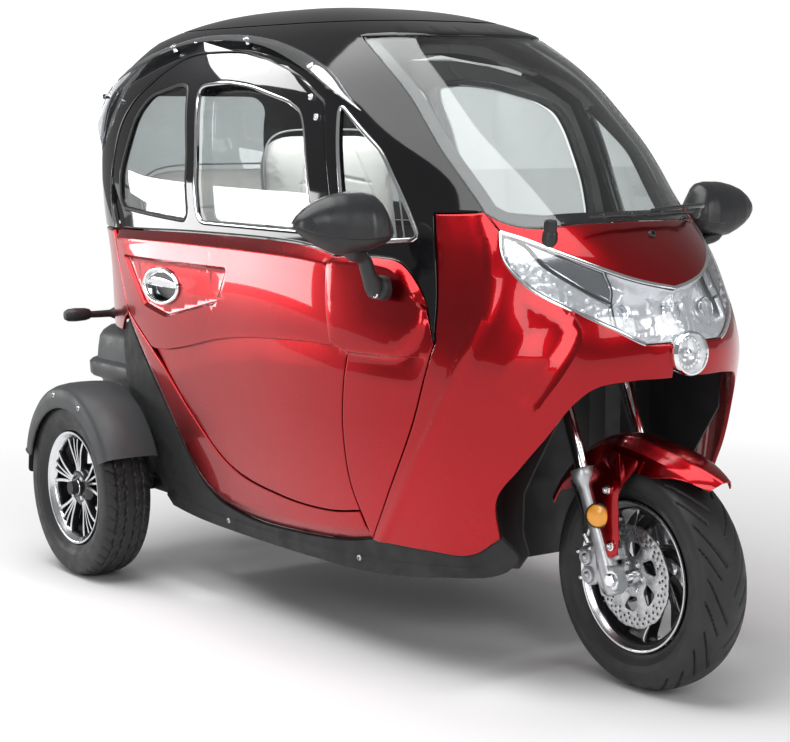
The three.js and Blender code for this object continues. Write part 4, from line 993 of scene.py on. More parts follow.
def red_panels():
    """Doors, quarters, surrounds and fairings by pairs, then the nose and the tail, which are whole."""
    door = closed_chart(BELT_DOOR, SHUT_TOP, SHUT_JOG, SHUT_FOOT, DOOR_FOOT, DOOR_TAIL)
    quarter = closed_chart(BELT_FRONT, PILLAR_FOOT, back(SHUT_FOOT), back(SHUT_JOG), back(SHUT_TOP))
    surround = closed_chart(SURROUND, curve([SILL_FRONT, DOOR_FRONT_FOOT]), DOOR_FOOT,
                            curve([DOOR_BACK_FOOT, SURROUND_BACK]))
    fairing = closed_chart(
        PILLAR_TOP, PILLAR_FOOT, FAIRING_FOOT, ARCH_EDGE, curve([ARCH_TOP, [PAST_LAMP, 692]]),
        curve([[PAST_LAMP, 692], [PAST_LAMP, 764]]), curve([[PAST_LAMP, 764], LAMP_FOOT_END]),
        back(LAMP_BOTTOM), curve([LAMP_CORNER, SCREEN_CORNER]), curve([SCREEN_CORNER, PILLAR_HEAD]),
    )
    # The driving lamp stands in a notch in the middle, between the headlamp and the wheel arch.
    low_middle = fairing[:, 0] < LAMP_NOTCH
    fairing[low_middle, 0] = LAMP_NOTCH
    step_along = np.linalg.norm(fairing - np.roll(fairing, 1, axis=0), axis=1)
    fairing = fairing[step_along > 2.0]
    step = line_feature(chart_of(curve([[1100, 716], [1250, 716], [1400, 722]], 8)), STEP_DOWN, fade=(0, 70))
    pod = line_feature(chart_of(POD), [[-14, 0], [-7, 1.0], [0, 6.5], [8, 11.0], [22, 12.5], [60, 13]],
                       closed=True)
    shoulder = line_feature(chart_of(back(curve([[1000, 903], [1223, 903], [1275, 893], [1330, 850]], 9))),
                            [[-6, 0], [0, 0.5], [4, -0.5], [30, -16]])
    crease = line_feature(
        chart_of(curve([SCREEN_CORNER, [1480, 951], [1504, 849], [1471, 743], [1414, 610], [1288, 397],
                        [1197, 279]], 9)),
        [[-70, 0], [-22, 1.5], [0, 6], [14, 1.5], [60, -2.5], [110, -3]],
    )
    chin = line_feature(
        chart_of(curve([[1547, 896], [1604, 863], [1650, 834], [1671, 806], [1681, 772], [1676, 740],
                        [1655, 691], [1632, 653], [1600, 600]], 8)),
        [[-40, 0], [-10, 0.5], [0, 1.5], [5, -3.0], [40, -6], [110, 0]], fade=(60, 50),
    )
    edge = line_feature(chart_of(back(SURROUND)), [[0, -14], [8, -9], [20, -2.5], [34, 2.0], [48, 2.0]])
    panels = (
        ("door_panel", "door_skin", Panel(door, holes=[handle_oval(1.0)], features=door_features())),
        ("quarter_panel_shell", "quarter_panel", Panel(quarter, features=[pod, step, shoulder])),
        ("surround_shell", "side_surround", Panel(surround, features=[edge], cell=12)),
        ("fairing_shell", "front_fairing", Panel(fairing, features=[crease, chin], gap=1.2, flange=9)),
    )
    for side, sign in SIDES.items():
        for name, node, panel in panels:
            body = f"door_{side}" if name == "door_panel" else "body"
            panel.piece(f"{name}_{side}", body, PAINT, sign, replaces=[f"{node}_{side}"], slot="red_paint")
    nose = closed_chart(
        SCREEN_BASE, COWL_LINE, curve([[PAST_NOSE, 1010], [PAST_NOSE, 872]]),
        curve([[PAST_NOSE, 872], LAMP_TOP_END]), back(LAMP_TOP), curve([LAMP_CORNER, SCREEN_CORNER]),
    )
    Panel(nose, whole=True, cell=13, gap=1.6).piece("nose_shell", "body", PAINT, replaces=["nose_panel"],
                                                    slot="red_paint")
    tail = closed_chart(
        curve([[PAST_TAIL, 926], [-16, 926]]), curve([[-16, 926], [118, 714], [94, 700], [60, 662]]),
        curve([[60, 662], [PAST_TAIL, 662]]), curve([[PAST_TAIL, 662], [PAST_TAIL, 926]]),
    )
    Panel(tail, whole=True, cell=16).piece("tail_shell", "body", PAINT, replaces=["rear_panel"],
                                           slot="red_paint")


red_panels()


# ---------------------------------------------------------------- roof, glass and the black upper body
CAB_THICK = 16


def zones():
    """Outlines of the upper body in the chart."""
    screen = closed_chart(
        SCREEN_EDGE, SCREEN_BASE, COWL_LINE, curve([[PAST_NOSE, 1010], [PAST_NOSE, SCREEN_TOP_Z]]),
        curve([[PAST_NOSE, SCREEN_TOP_Z], [1085, SCREEN_TOP_Z], SCREEN_TOP]),
    )
    quarter_glass = chart_of(rounded(QUARTER_PANE, 26, 9))
    return screen, quarter_glass


def roof_piece():
    """The roof above the seam: rings of the chart from the seam to the top, closed with a cap."""
    seam = 1452.0
    levels = level_of(np.linspace(seam, CABIN_TOP - 0.4, 12))
    s = np.linspace(0, SPAN, 61)
    b = Build()
    rows = []
    for level in levels:
        chart = np.column_stack([s, np.full(len(s), level)])
        place = on_body(chart)
        place[[0, -1], 1] = 0
        rows.append(place)
    lowest = np.column_stack([s, np.full(len(s), levels[0])])
    drop = on_body(lowest) - body_normal(lowest) * 7
    drop[[0, -1], 1] = 0
    rows.insert(0, drop)
    loops = [np.vstack([row, (row * [1, -1, 1])[-2:0:-1]]) for row in rows]
    n = len(loops[0])
    verts = np.vstack(loops)
    faces = grid_faces(len(loops), n, False, True)
    top = verts[-n:]
    centre = top.mean(axis=0)
    verts = np.vstack([verts, [centre]])
    base = (len(loops) - 1) * n
    faces += [[base + i, base + (i + 1) % n, len(verts) - 1] for i in range(n)]
    b.add(verts, faces)
    return b.piece("roof_panel", "body", BLACK, sharp=50)


REAR_WINDOW = {"half": 250, "low": 1010, "high": 1290, "corner": 60}


def rear_window_edge():
    """Half the rear window's outline, from the centre line at the top to the centre line below."""
    half, low, high, r = REAR_WINDOW["half"], REAR_WINDOW["low"], REAR_WINDOW["high"], REAR_WINDOW["corner"]
    turn = np.linspace(0, math.pi / 2, 8)
    points = [[-y, high] for y in np.linspace(0, half - r, 14)]
    points += [[-(half - r + r * math.sin(t)), high - r + r * math.cos(t)] for t in turn[1:]]
    points += [[-half, z] for z in np.linspace(high - r, low + r, 12)[1:-1]]
    points += [[-(half - r + r * math.cos(t)), low + r - r * math.sin(t)] for t in turn]
    points += [[-y, low] for y in np.linspace(half - r, 0, 14)[1:]]
    return across_chart(points, tail=True)


def upper_body():
    """The black cab round the glass, the fixed panes, and the printed border along the windscreen's edge."""
    screen, quarter_glass = zones()
    window = rear_window_edge()
    cab = chain(
        chart_of(chain(curve([[PAST_TAIL, 930], BELT_BACK]), FRAME_TOP, FRAME_FRONT, BELT_FRONT,
                       back(PILLAR_TOP), curve([PILLAR_HEAD, SCREEN_CORNER]), back(SCREEN_EDGE),
                       curve([SCREEN_TOP, [1085, SCREEN_TOP_Z], [PAST_NOSE, SCREEN_TOP_Z]]),
                       curve([[PAST_NOSE, SCREEN_TOP_Z], [PAST_NOSE, 1451]]),
                       curve([[PAST_NOSE, 1451], [PAST_TAIL, 1451]], 20),
                       curve([[PAST_TAIL, 1451], [PAST_TAIL, 1290]]))),
        window, chart_of(curve([[PAST_TAIL, 1010], [PAST_TAIL, 930]])),
    )
    cab_skin = Panel(cab, holes=[quarter_glass], cell=20, flange=CAB_THICK, thick=4, gap=1.0, roll=2.4,
                     whole=True)
    cab_skin.piece("cab_panel", "body", BLACK, replaces=["cab_shell"], slot="black_gloss")
    rear_outline = chain(window, chart_of(curve([[PAST_TAIL, 1010], [PAST_TAIL, 1290]])))
    rear_glass = Panel(rear_outline, whole=True, gap=-6, inset=6, thick=4, flange=4, roll=0.6, cell=30)
    rear_glass.piece("rear_pane_glass", "body", SIDE_GLASS, replaces=["rear_window"], slot="window_glass")
    for side, sign in SIDES.items():
        Panel(quarter_glass, inset=6, thick=4, gap=-6, roll=0.6, flange=4, cell=26).piece(
            f"quarter_pane_{side}", "body", SIDE_GLASS, sign, replaces=[f"quarter_glass_{side}"],
            slot="window_glass")
        trim = Build().add(*bead(quarter_glass, 5.0, 1.0, flat=0.6))
        trim.piece(f"quarter_trim_{side}", "body", TRIM, sign)
    border = Panel.shifted(chart_of(np.vstack([SCREEN_EDGE, SCREEN_BASE[1:]])), -15, False)
    cowl = Panel.shifted(chart_of(chain(SCREEN_BASE, COWL_LINE)[:-1]), -13, False)
    for side, sign in SIDES.items():
        edge = Build()
        for line, half_wide in ((border, 17), (cowl, 13)):
            edge.add(*bead(line, half_wide, -9, sides=12, flat=0.08, closed=False))
        edge.piece(f"screen_border_{side}", "body", [FRIT], sign)
    Panel(screen, whole=True, cell=26, inset=1.5, thick=4.5, flange=4.5, roll=1.0, gap=2.0).piece(
        "screen_glass", "body", GLASS, replaces=["windscreen"], slot="window_glass")


roof_piece()
upper_body()


# ---------------------------------------------------------------- door windows
def set_in(chart):
    """How far the door frame and its glass lie under the body: deeper at the belt."""
    return -3 - 15 * (1 - blend(chart[:, 1], 945, 1080))


def door_windows():
    """Each door's sash, inner lining, fixed rear pane, sliding pane and seals."""
    frame_outline = closed_chart(FRAME_TOP, FRAME_FRONT, back(BELT_DOOR))
    rear_pane = chart_of(rounded(REAR_PANE, 34, 9))
    main_pane = chart_of(rounded(MAIN_PANE, 40, 9))
    lining = closed_chart(BELT_DOOR, SHUT_TOP, SHUT_JOG, SHUT_FOOT, DOOR_FOOT, DOOR_TAIL)
    for side, sign in SIDES.items():
        door = f"door_{side}"
        sash = Panel(frame_outline, holes=[rear_pane, main_pane], cell=20, relief=set_in, flange=16,
                     thick=12, gap=2.0, roll=2.0)
        sash.piece(f"door_sash_{side}", door, BLACK, sign, replaces=[f"door_frame_{side}"],
                   slot="black_gloss")
        Panel(lining, gap=16, inset=30, thick=3, flange=10, cell=34).piece(
            f"door_lining_{side}", door, DARK, sign)
        Panel(rear_pane, gap=-5, inset=5, relief=set_in, thick=4, flange=4, roll=0.6, cell=26).piece(
            f"rear_pane_{side}", door, SIDE_GLASS, sign, replaces=[f"door_rear_glass_{side}"],
            slot="window_glass")
        Panel(main_pane, gap=-7, inset=27, relief=set_in, thick=4, flange=4, roll=0.6, cell=26).piece(
            f"sliding_pane_{side}", f"window_{side}", SIDE_GLASS, sign, replaces=[f"door_window_{side}"],
            slot="window_glass")
        for label, loop, deep in (("rear", rear_pane, -1.0), ("main", main_pane, -3.0)):
            seal = Build().add(*bead(drawn_in(loop, 3), 4.6, set_in(loop) + deep, flat=0.7))
            seal.piece(f"{label}_pane_seal_{side}", door, TRIM if label == "main" else SEAL, sign)


# ---------------------------------------------------------------- lower body, cover and rear mudguards
def sill_features():
    mould = line_feature(chart_of(curve([[1470, 262], [1181, 240], [900, 232], [420, 232], [300, 236]])),
                         [[-30, 0], [0, 1.5], [4, -3], [40, -8]])
    return [mould]


def lower_body():
    outline = closed_chart(SURROUND, FAIRING_FOOT, SILL_FOOT, SILL_TAIL)
    for side, sign in SIDES.items():
        # The sill takes the darker copy of the grey plastic, which paints shade on it.
        Panel(outline, features=sill_features(), cell=18, gap=1.2, roll=2.5, flange=12).piece(
            f"sill_shell_{side}", "body", SHADED_SILL_PLASTIC, sign, replaces=[f"sill_{side}"], slot="grey_plastic")


COVER = [[428, 374, -232], [436, 378, -236], [498, 384, -250], [504, 388, -256], [509, 399, -280],
         [516, 403, -286], [546, 404, -288], [553, 400, -281], [560, 392, -262], [590, 390, -260],
         [620, 387, -255], [636, 380, -246], [648, 368, -232], [653, 340, -204]]


def rear_cover():
    """The stepped cover: rings of [height, half width, tail] with rounded back corners, closed on top."""
    rings = []
    front, corner = 30, 110
    for z, half, tail in COVER:
        angle = np.linspace(0, math.pi / 2, 10)
        right = [[front, -half, z]] + [[x, -half, z] for x in np.linspace(front, tail + corner, 7)[1:-1]]
        right += [[tail + corner - corner * math.sin(a), -half + corner - corner * math.cos(a), z]
                  for a in angle]
        right += [[tail, y, z] for y in np.linspace(-half + corner, 0, 7)[1:]]
        left = [[x, -y, z] for x, y, z in right[::-1][1:]]
        rings.append(right + left)
    n = len(rings[0])
    outer = np.array(rings).reshape(-1, 3)
    faces = grid_faces(len(rings), n)
    top = (len(rings) - 1) * n
    faces += [[top + i, top + i + 1, top + n - 2 - i, top + n - 1 - i] for i in range(n // 2)]
    faces = [list(dict.fromkeys(f)) for f in faces if len(set(f)) >= 3]
    Build().add(outer, faces).piece("cover_shell", "body", PLASTIC, replaces=["rear_cover"],
                                    slot="grey_plastic", sharp=32)


def swept_shell(sections, thick):
    """A closed shell under a grid of places with its outward normals: (places, normals)."""
    places, normals = sections
    rows, columns = places.shape[:2]
    outer = places.reshape(-1, 3)
    inner = (places - normals * thick).reshape(-1, 3)
    count = len(outer)
    faces = grid_faces(rows, columns)
    faces = faces + [[i + count for i in f[::-1]] for f in faces]
    rim = list(range(columns)) + [r * columns + columns - 1 for r in range(1, rows)]
    rim += [(rows - 1) * columns + i for i in range(columns - 2, -1, -1)]
    rim += [r * columns for r in range(rows - 2, 0, -1)]
    for a, b in zip(rim, rim[1:] + rim[:1]):
        faces.append([b, a, a + count, b + count])
    return np.vstack([outer, inner]), faces


def guard_normals(places):
    """Directions square to a grid of places."""
    du = np.gradient(places, axis=0)
    dv = np.gradient(places, axis=1)
    normals = np.cross(du, dv)
    return normals / np.maximum(np.linalg.norm(normals, axis=2, keepdims=True), 1e-9)


REAR_GUARD = {"from": 24, "to": 162, "radius": 284, "thick": 3.5, "bolt_radius": 252}


def rear_mudguards():
    """A shell over each rear wheel with a rolled edge, two bolts and a rubber flap."""
    for side, sign in SIDES.items():
        angles = np.radians(np.linspace(REAR_GUARD["from"], REAR_GUARD["to"], 56))
        t = (angles - angles[0]) / (angles[-1] - angles[0])
        section = [[437, 20], [438, 8], [443, 2], [455, 0], [485, -2], [515, -2.5], [545, -1.5], [568, 2],
                   [582, 8], [589, 17], [592, 30], [592.5, 46], [591, 48]]
        places = np.zeros((len(angles), len(section), 3))
        for i, (a, share) in enumerate(zip(angles, t)):
            r = REAR_GUARD["radius"] - 26 * share**3
            for j, (y, drop) in enumerate(section):
                deep = drop * (1 + 0.25 * math.sin(share * math.pi)) if drop > 20 else drop
                places[i, j] = [(r - deep) * math.cos(a), -y, REAR_RADIUS + (r - deep) * math.sin(a)]
        normals = guard_normals(places)
        if (normals[20, 6] @ [0, 0, 1]) < 0:
            normals = -normals
        verts, faces = swept_shell((places, normals), REAR_GUARD["thick"])
        b = Build().add(verts, [f[::-1] for f in faces], 0)
        rim = places[:, -1] + [0, 2, 0]
        b.add(*tube(rim, 3.4, 8), 0)
        b.add(*tube(places[-1], 3.2, 8), 0)
        for a in (1.15, 1.75):
            x, z = polar(REAR_GUARD["bolt_radius"], a)[0]
            at = [x, -588.5, REAR_RADIUS + z]
            b.turned_to(at, (0, -1, 0), *bolt_head(7, 5), mark=1)
        flap = outline_plate(rounded([[-62, -70], [62, -70], [68, 12], [-68, 12]], 14, 6), 0, 4, 1)
        end = places[-1].mean(axis=0)
        b.turned_to([end[0] + 4, -514, end[2] - 2], unit([-1, 0, 0.28]), *flap, mark=2)
        b.piece(f"mudguard_shell_{side}", "axle", [PLASTIC, STEEL, RUBBER], sign,
                replaces=[f"rear_mudguard_{side}"], slot="grey_plastic", sharp=32)


# ---------------------------------------------------------------- headlamp
LAMP_OUTLINE = (
    LAMP_TOP, curve([LAMP_TOP_END, [PAST_LAMP, 872]], 8), curve([[PAST_LAMP, 872], [PAST_LAMP, 764]], 8),
    curve([[PAST_LAMP, 764], LAMP_FOOT_END], 8), LAMP_BOTTOM[::-1],
)


LED_TOP = curve([[1500, 981], [1537, 962], [1575, 929], [1641, 886], [1698, 848]], 7)
LED_FOOT = curve([LAMP_CORNER, [1515, 927], [1575, 876], [1665, 828], [1716, 797]], 7)
SPLIT_TOP = curve([[1664, 913], [1689, 874], [1698, 848]], 7)
INSERT_TOP = curve([[1500, 981], [1532, 973], [1600, 945], [1664, 913]], 7)


def lamp_floor(outline):
    """Depth of the reflector under the lens, with its dishes."""
    dish_at = chart_of([[1728, 838]])[0]

    def depth(chart):
        gap = distance_to(chart, outline, True)[0]
        sunk = -8 - 24 * blend(gap, 2, 18)
        radius = np.linalg.norm((chart - dish_at) * [1.0, 1.05], axis=1)
        dish = -20 * (1 - np.clip(radius / 44, 0, 1) ** 2)
        middle = np.linalg.norm((chart - [0, dish_at[1] + 2]) * [1.0, 1.1], axis=1)
        dish -= 14 * (1 - np.clip(middle / 40, 0, 1) ** 2)
        steps = 1.6 * np.abs(np.sin(chart[:, 0] * math.pi / 17)) * blend(gap, 6, 14)
        return sunk + dish + steps

    return depth


def headlamp():
    """The reflector, the clear cover, three projectors, the LED bands and inserts, and the driving lamp."""
    outline = closed_chart(*LAMP_OUTLINE)
    floor = Panel(outline, whole=True, cell=6, relief=lamp_floor(outline), thick=2, flange=4, gap=1.6,
                  roll=1.0)
    floor.piece("lamp_reflector", "body", REFLECTOR, replaces=["headlamp_housing"], slot="lamp_silver",
                sharp=30)
    Panel(outline, whole=True, cell=12, thick=2.5, flange=6, gap=1.0, roll=2.0, inset=-1.0).piece(
        "lamp_cover_lens", "body", LENS, replaces=["headlamp_lens"], slot="lamp_lens")
    b = Build()
    dish_chart = chart_of([[1712, 836]])
    spots = [(dish_chart, 1), (dish_chart, -1), (np.array([[0.4, dish_chart[0, 1] + 2]]), 1)]
    for chart, turn in spots:
        place, normal = on_body(chart)[0], body_normal(chart)[0]
        place, normal = place * [1, turn, 1], normal * [1, turn, 1]
        axis = unit(normal * [1, 0.5, 0.6])
        at = place - normal * 40
        b.turned_to(at, axis, *lathe([[23, 0], [24, 5], [22, 8], [20, 7.5], [19, 2], [0.01, -2]], 40), mark=0)
        b.turned_to(at, axis, *lathe([[18.5, 1], [17, 9], [13, 15], [7, 19], [0.01, 20.5]], 40), mark=1)
    b.piece("lamp_projectors", "body", [CHROME, LENS], sharp=40)
    led = closed_chart(LED_TOP, curve([[1698, 848], [1708, 820], [1716, 797]], 7), back(LED_FOOT))
    insert = closed_chart(LED_TOP, back(SPLIT_TOP), back(INSERT_TOP))
    for side, sign in SIDES.items():
        Panel(led, cell=6, inset=8, thick=6, flange=10, gap=4.0, roll=2.0).piece(
            f"lamp_led_band_{side}", "body", CRYSTAL, sign)
        Panel(insert, cell=8, inset=7, thick=6, flange=14, gap=3.0, roll=3.0).piece(
            f"lamp_insert_{side}", "body", LAMP_GREY, sign)
        rim = Build()
        rim.add(*bead(chart_of(LAMP_TOP), 4.6, -1.0, flat=0.5, closed=False), 0)
        rim.add(*bead(chart_of(LAMP_BOTTOM), 4.6, -1.0, flat=0.5, closed=False), 0)
        rim.add(*bead(chart_of(LED_TOP), 1.8, -5, flat=0.8, closed=False), 1)
        rim.add(*bead(chart_of(chain(SPLIT_TOP, curve([[1698, 848], [1720, 795]], 6))[:-1]), 1.8, -4,
                      flat=0.8, closed=False), 1)
        for x, z in ((1508, 940), (1530, 916), (1556, 893), (1584, 876), (1612, 861), (1640, 847),
                     (1668, 833), (1530, 944), (1556, 920), (1584, 901), (1612, 884), (1640, 869),
                     (1668, 853), (1692, 826)):
            place, normal = on_side(x, z)
            rim.turned_to(place - normal * 9, normal, *lathe([[6.6, 0], [6.0, 3], [4, 5], [0.01, 5.8]], 6),
                          mark=2)
        rim.piece(f"lamp_trim_{side}", "body", [TRIM, DARK, REFLECTOR], sign)
    driving_lamp()


def driving_lamp():
    """The round lamp under the middle of the lens: a barrel, a reflector with pips, a bulb cap and a glass."""
    b = Build()
    tilt = unit([1, 0, 0.06])
    at = np.array([1767, 0, 740.0])
    barrel = [[40, -34], [45, -18], [48, -3], [48, 5], [45.5, 10], [42, 10.5], [41, 7]]
    b.turned_to(at, tilt, *lathe(barrel, 56), mark=0)
    b.turned_to(at, tilt, *lathe([[41, 6], [36, -6], [27, -17], [13, -23], [0.01, -24]], 56), mark=1)
    b.turned_to(at, tilt, *lathe([[13, -23], [12.5, -8], [8, -1], [0.01, 1]], 28), mark=0)
    b.turned_to(at, tilt, *lathe([[42, 7], [33, 13], [18, 16.5], [0.01, 18]], 56), mark=2)
    for k in range(20):
        a = k * math.pi / 10
        spot = at + np.array([-5, 30 * math.cos(a), 30 * math.sin(a)])
        b.turned_to(spot, tilt, *lathe([[4.4, 0], [3.4, 2.6], [0.01, 3.6]], 8), mark=1)
    b.piece("driving_lamp", "body", [CHROME, REFLECTOR, LENS])


door_windows()
lower_body()
rear_cover()
rear_mudguards()
headlamp()


# ---------------------------------------------------------------- tyres
FRONT_TYRE = [[164, 42], [168, 47], [176, 50], [184, 55], [192, 60], [202, 63.5], [212, 65], [222, 64],
              [231, 60.5], [237, 54], [241, 47], [244, 39], [246.5, 30], [248.4, 20], [249.5, 10], [250, 0]]
REAR_TYRE = [[151, 42], [155, 48], [162, 53], [170, 59], [180, 64], [192, 67], [204, 67.5], [215, 66.5],
             [223, 64], [229, 59], [232.6, 52], [235, 44], [236.4, 34], [237.3, 22], [237.8, 11], [238, 0]]


def fine_profile(half, step=2.6):
    """Half a tyre's section to the whole section, cut in even steps from one bead to the other."""
    whole = np.vstack([np.array(half) * [1, -1], np.array(half)[::-1][1:]])
    return curve(whole, step)


def front_tread(angle, y):
    """Groove depth: long swept grooves leave the middle by turns on each side, with short ones between."""
    pitch = 2 * math.pi / 13
    side = np.where(y < 0, 0.5, 0.0)
    reach = np.abs(y)
    deep = np.zeros_like(angle)
    for shift, low, high, bend, wide in ((0.0, 4, 56, 0.0105, 4.4), (0.42, 22, 62, 0.0080, 3.4)):
        line = (angle / pitch + side + shift - bend * (reach - 4) - 0.00011 * reach**2) % 1.0
        gap = np.minimum(line, 1 - line) * pitch * 245
        run = blend(reach, low, low + 3) * (1 - blend(reach, high - 3, high))
        deep = np.maximum(deep, 4.6 * (1 - blend(gap, wide * 0.75, wide * 1.35)) * run)
    return deep


def rear_tread(angle, y):
    """Groove depth of four grooves that run round the tyre, joined by slanting cuts towards the shoulders."""
    reach = np.abs(y)
    deep = np.zeros_like(angle)
    for at, wide in ((14, 2.6), (37, 2.9)):
        wander = at + 1.6 * np.sin(angle * 34)
        deep = np.maximum(deep, 5.0 * (1 - blend(np.abs(reach - wander), wide * 0.7, wide * 1.2)))
    pitch = 2 * math.pi / 46
    for low, high, slant, wide in ((37, 63, 0.014, 1.5), (16, 36, -0.016, 1.2)):
        line = (angle / pitch + slant * reach * np.sign(y) * 1.4 + np.where(y < 0, 0.5, 0)) % 1.0
        gap = np.minimum(line, 1 - line) * pitch * 236
        run = blend(reach, low, low + 2) * (1 - blend(reach, high - 3, high))
        deep = np.maximum(deep, 3.6 * (1 - blend(gap, wide * 0.7, wide * 1.4)) * run)
    return deep


def tyre_mesh(half, tread, around):
    """A tyre about the Y axis, its tread pressed into the section, closed inside by a plain band."""
    section = fine_profile(half)
    tangent = np.gradient(section, axis=0)
    normal = np.column_stack([-tangent[:, 1], tangent[:, 0]])
    normal /= np.linalg.norm(normal, axis=1)[:, None]
    if normal[len(section) // 2, 0] < 0:
        normal = -normal
    angle = np.linspace(0, 2 * math.pi, around, endpoint=False)
    big, wide = np.meshgrid(angle, section[:, 1], indexing="ij")
    outer = section[:, 0].max()
    deep = tread(big, wide) * blend(section[:, 0], outer - 34, outer - 22)[None]
    ribs = sum(high * (np.abs(section[:, 0] - (outer - below)) < 1.4) for high,
               below in ((0.7, 46), (0.5, 58)))
    lift = ribs[None] - deep
    radius = section[:, 0][None] + normal[:, 0][None] * lift
    y = section[:, 1][None] + normal[:, 1][None] * lift
    verts = np.stack([radius * np.cos(big), y, radius * np.sin(big)], axis=2)
    inner = np.array([[section[0, 0], section[0, 1] + 8], [outer - 24, -46], [outer - 24, 46],
                      [section[-1, 0], section[-1, 1] - 8]])
    back_rings = np.stack([inner[:, 0][None] * np.cos(angle)[:, None],
                           np.broadcast_to(inner[:, 1], (around, 4)),
                           inner[:, 0][None] * np.sin(angle)[:, None]], axis=2)
    rows = np.concatenate([verts, back_rings[:, ::-1]], axis=1)
    faces = grid_faces(around, rows.shape[1], True, True)
    return rows.reshape(-1, 3), faces


def tyres():
    verts, faces = tyre_mesh(FRONT_TYRE, front_tread, 460)
    mesh_piece("front_tyre_tread", verts + FRONT_WHEEL, faces, "front_wheel", RUBBER,
               replaces=["front_tyre"], slot="tyre_rubber", sharp=50)
    verts, faces = tyre_mesh(REAR_TYRE, rear_tread, 440)
    for side, sign in SIDES.items():
        place = verts + (0, -HALF_TRACK, REAR_RADIUS)
        made, turned = (place, faces) if sign > 0 else mirrored(place, faces)
        mesh_piece(f"rear_tyre_tread_{side}", made, turned, f"rear_wheel_{side}", RUBBER,
                   replaces=[f"rear_tyre_{side}"], slot="tyre_rubber", sharp=50)


# ---------------------------------------------------------------- rims and brake disc
def to_wheel(verts):
    """Shapes drawn about +Z, laid about the wheel's axle with +Z turned to -Y, the right-hand outside."""
    v = np.asarray(verts, float)
    return np.column_stack([v[:, 0], -v[:, 2], v[:, 1]])


def add_to_wheel(b, verts, faces, mark=0):
    """Adds a turned shape to a wheel. Laying it about the axle mirrors it, so its faces are turned over."""
    b.add(to_wheel(verts), [f[::-1] for f in faces], mark)


RIM_SEGMENTS = 120
FRONT_SPOKES, FRONT_SPOKE_REACH, FRONT_SPOKE_SWEEP = 6, (30, 147), -0.62
REAR_SPOKES, REAR_SPOKE_REACH, REAR_SPOKE_RISE = 5, (40, 134), 22
DISC = {"radius": 113, "wave": 1.8, "waves": 12, "thick": 4, "y": -47, "hole": 2.9, "holes_round": 36}


def front_rim():
    """A black barrel with machined lips, and wide swept spokes, each with a machined line along one edge."""
    b = Build()
    barrel = [[161, -53], [164, -53], [165, -50], [163, -47], [158, -44], [152, -40], [149, -30], [148, 0],
              [149, 30], [152, 40], [158, 44], [163, 47], [165, 50], [164, 53], [161, 53], [158, 51.5],
              [154, 47], [149, 43], [145, 38], [143.5, 30], [142.5, 0], [143.5, -30], [145, -38],
              [149, -43], [154, -47], [158, -51.5]]
    machined = {0, 1, 12, 13, 14, 15, 16, 23, 24, 25}
    verts, faces = lathe(barrel, RIM_SEGMENTS, True)
    add_to_wheel(b, verts, faces)
    for i in range(len(faces)):
        b.marks[i] = 1 if i // RIM_SEGMENTS in machined else 0
    inner, outer = FRONT_SPOKE_REACH
    r = np.linspace(inner, outer, 16)
    lean = FRONT_SPOKE_SWEEP * blend(r, inner, outer) ** 1.2
    wide = np.interp(r, [inner, 60, 100, outer], [0.44, 0.24, 0.17, 0.23])
    for k in range(FRONT_SPOKES):
        a = k * 2 * math.pi / FRONT_SPOKES
        outline = np.vstack([polar(r, a + lean - wide), polar(r, a + lean + wide)[::-1]])
        v, f = outline_plate(outline, -12, 14, 2.5)
        dish = 10 * blend(np.linalg.norm(v[:, :2], axis=1), 60, outer)
        v[:, 2] += np.where(v[:, 2] > 0, dish, 0)
        b.add(to_wheel(v), f, 0)
        rib = np.column_stack([polar(r, a + lean + wide * 0.80), 14.4 + 10 * blend(r, 60, outer)])
        b.add(*tube(to_wheel(rib), np.interp(r, FRONT_SPOKE_REACH, [1.6, 2.4]), 8), 1)
    add_to_wheel(b, *lathe([[12, -42], [31, -42], [34, -38], [34, 30], [31, 36], [24, 40], [12, 42]], 48,
                           True))
    place = np.vstack(b.verts) + np.array(FRONT_WHEEL)
    return mesh_piece("front_rim_cast", place, b.faces, "front_wheel", [RIM_BLACK, ALLOY], marks=b.marks,
                      replaces=["front_rim"], slot="front_alloy", sharp=34)


def brake_disc():
    """A waved disc with three rings of drilled holes, six windows and six bolts."""
    holes = []
    hole_turn = np.linspace(0, 2 * math.pi, 10, endpoint=False)
    for k in range(DISC["holes_round"]):
        for radius, shift, every in ((103, 0.0, 1), (93, 0.5, 1), (84, 0.25, 2)):
            if k % every == 0:
                centre = polar(radius, (k + shift) * 2 * math.pi / DISC["holes_round"])[0]
                holes.append(centre + polar(DISC["hole"], hole_turn))
    for k in range(6):
        t = np.linspace((k + 0.16) * math.pi / 3, (k + 0.84) * math.pi / 3, 12)
        holes.append(rounded(np.vstack([polar(76, t), polar(44, t[::-1])])[::4], 9, 5))
    t = np.linspace(0, 2 * math.pi, 132, endpoint=False)
    edge = polar(DISC["radius"] - DISC["wave"] * (np.cos(t * DISC["waves"]) > 0.2), t)
    b = Build()
    v, f = outline_plate(edge, -DISC["thick"] / 2, DISC["thick"] / 2, 0.5, holes)
    b.add(to_wheel(v), f, 0)
    for k in range(6):
        at = to_wheel([[*polar(32, k * math.pi / 3)[0], DISC["thick"] / 2]])[0]
        b.turned_to(at, (0, -1, 0), *bolt_head(5.5, 4.5), mark=1)
    place = np.vstack(b.verts) + np.array(FRONT_WHEEL) + [0, DISC["y"], 0]
    return mesh_piece("brake_disc_drilled", place, b.faces, "front_wheel", [STEEL, CHROME], marks=b.marks,
                      replaces=["brake_disc"], slot="disc_steel", sharp=34)


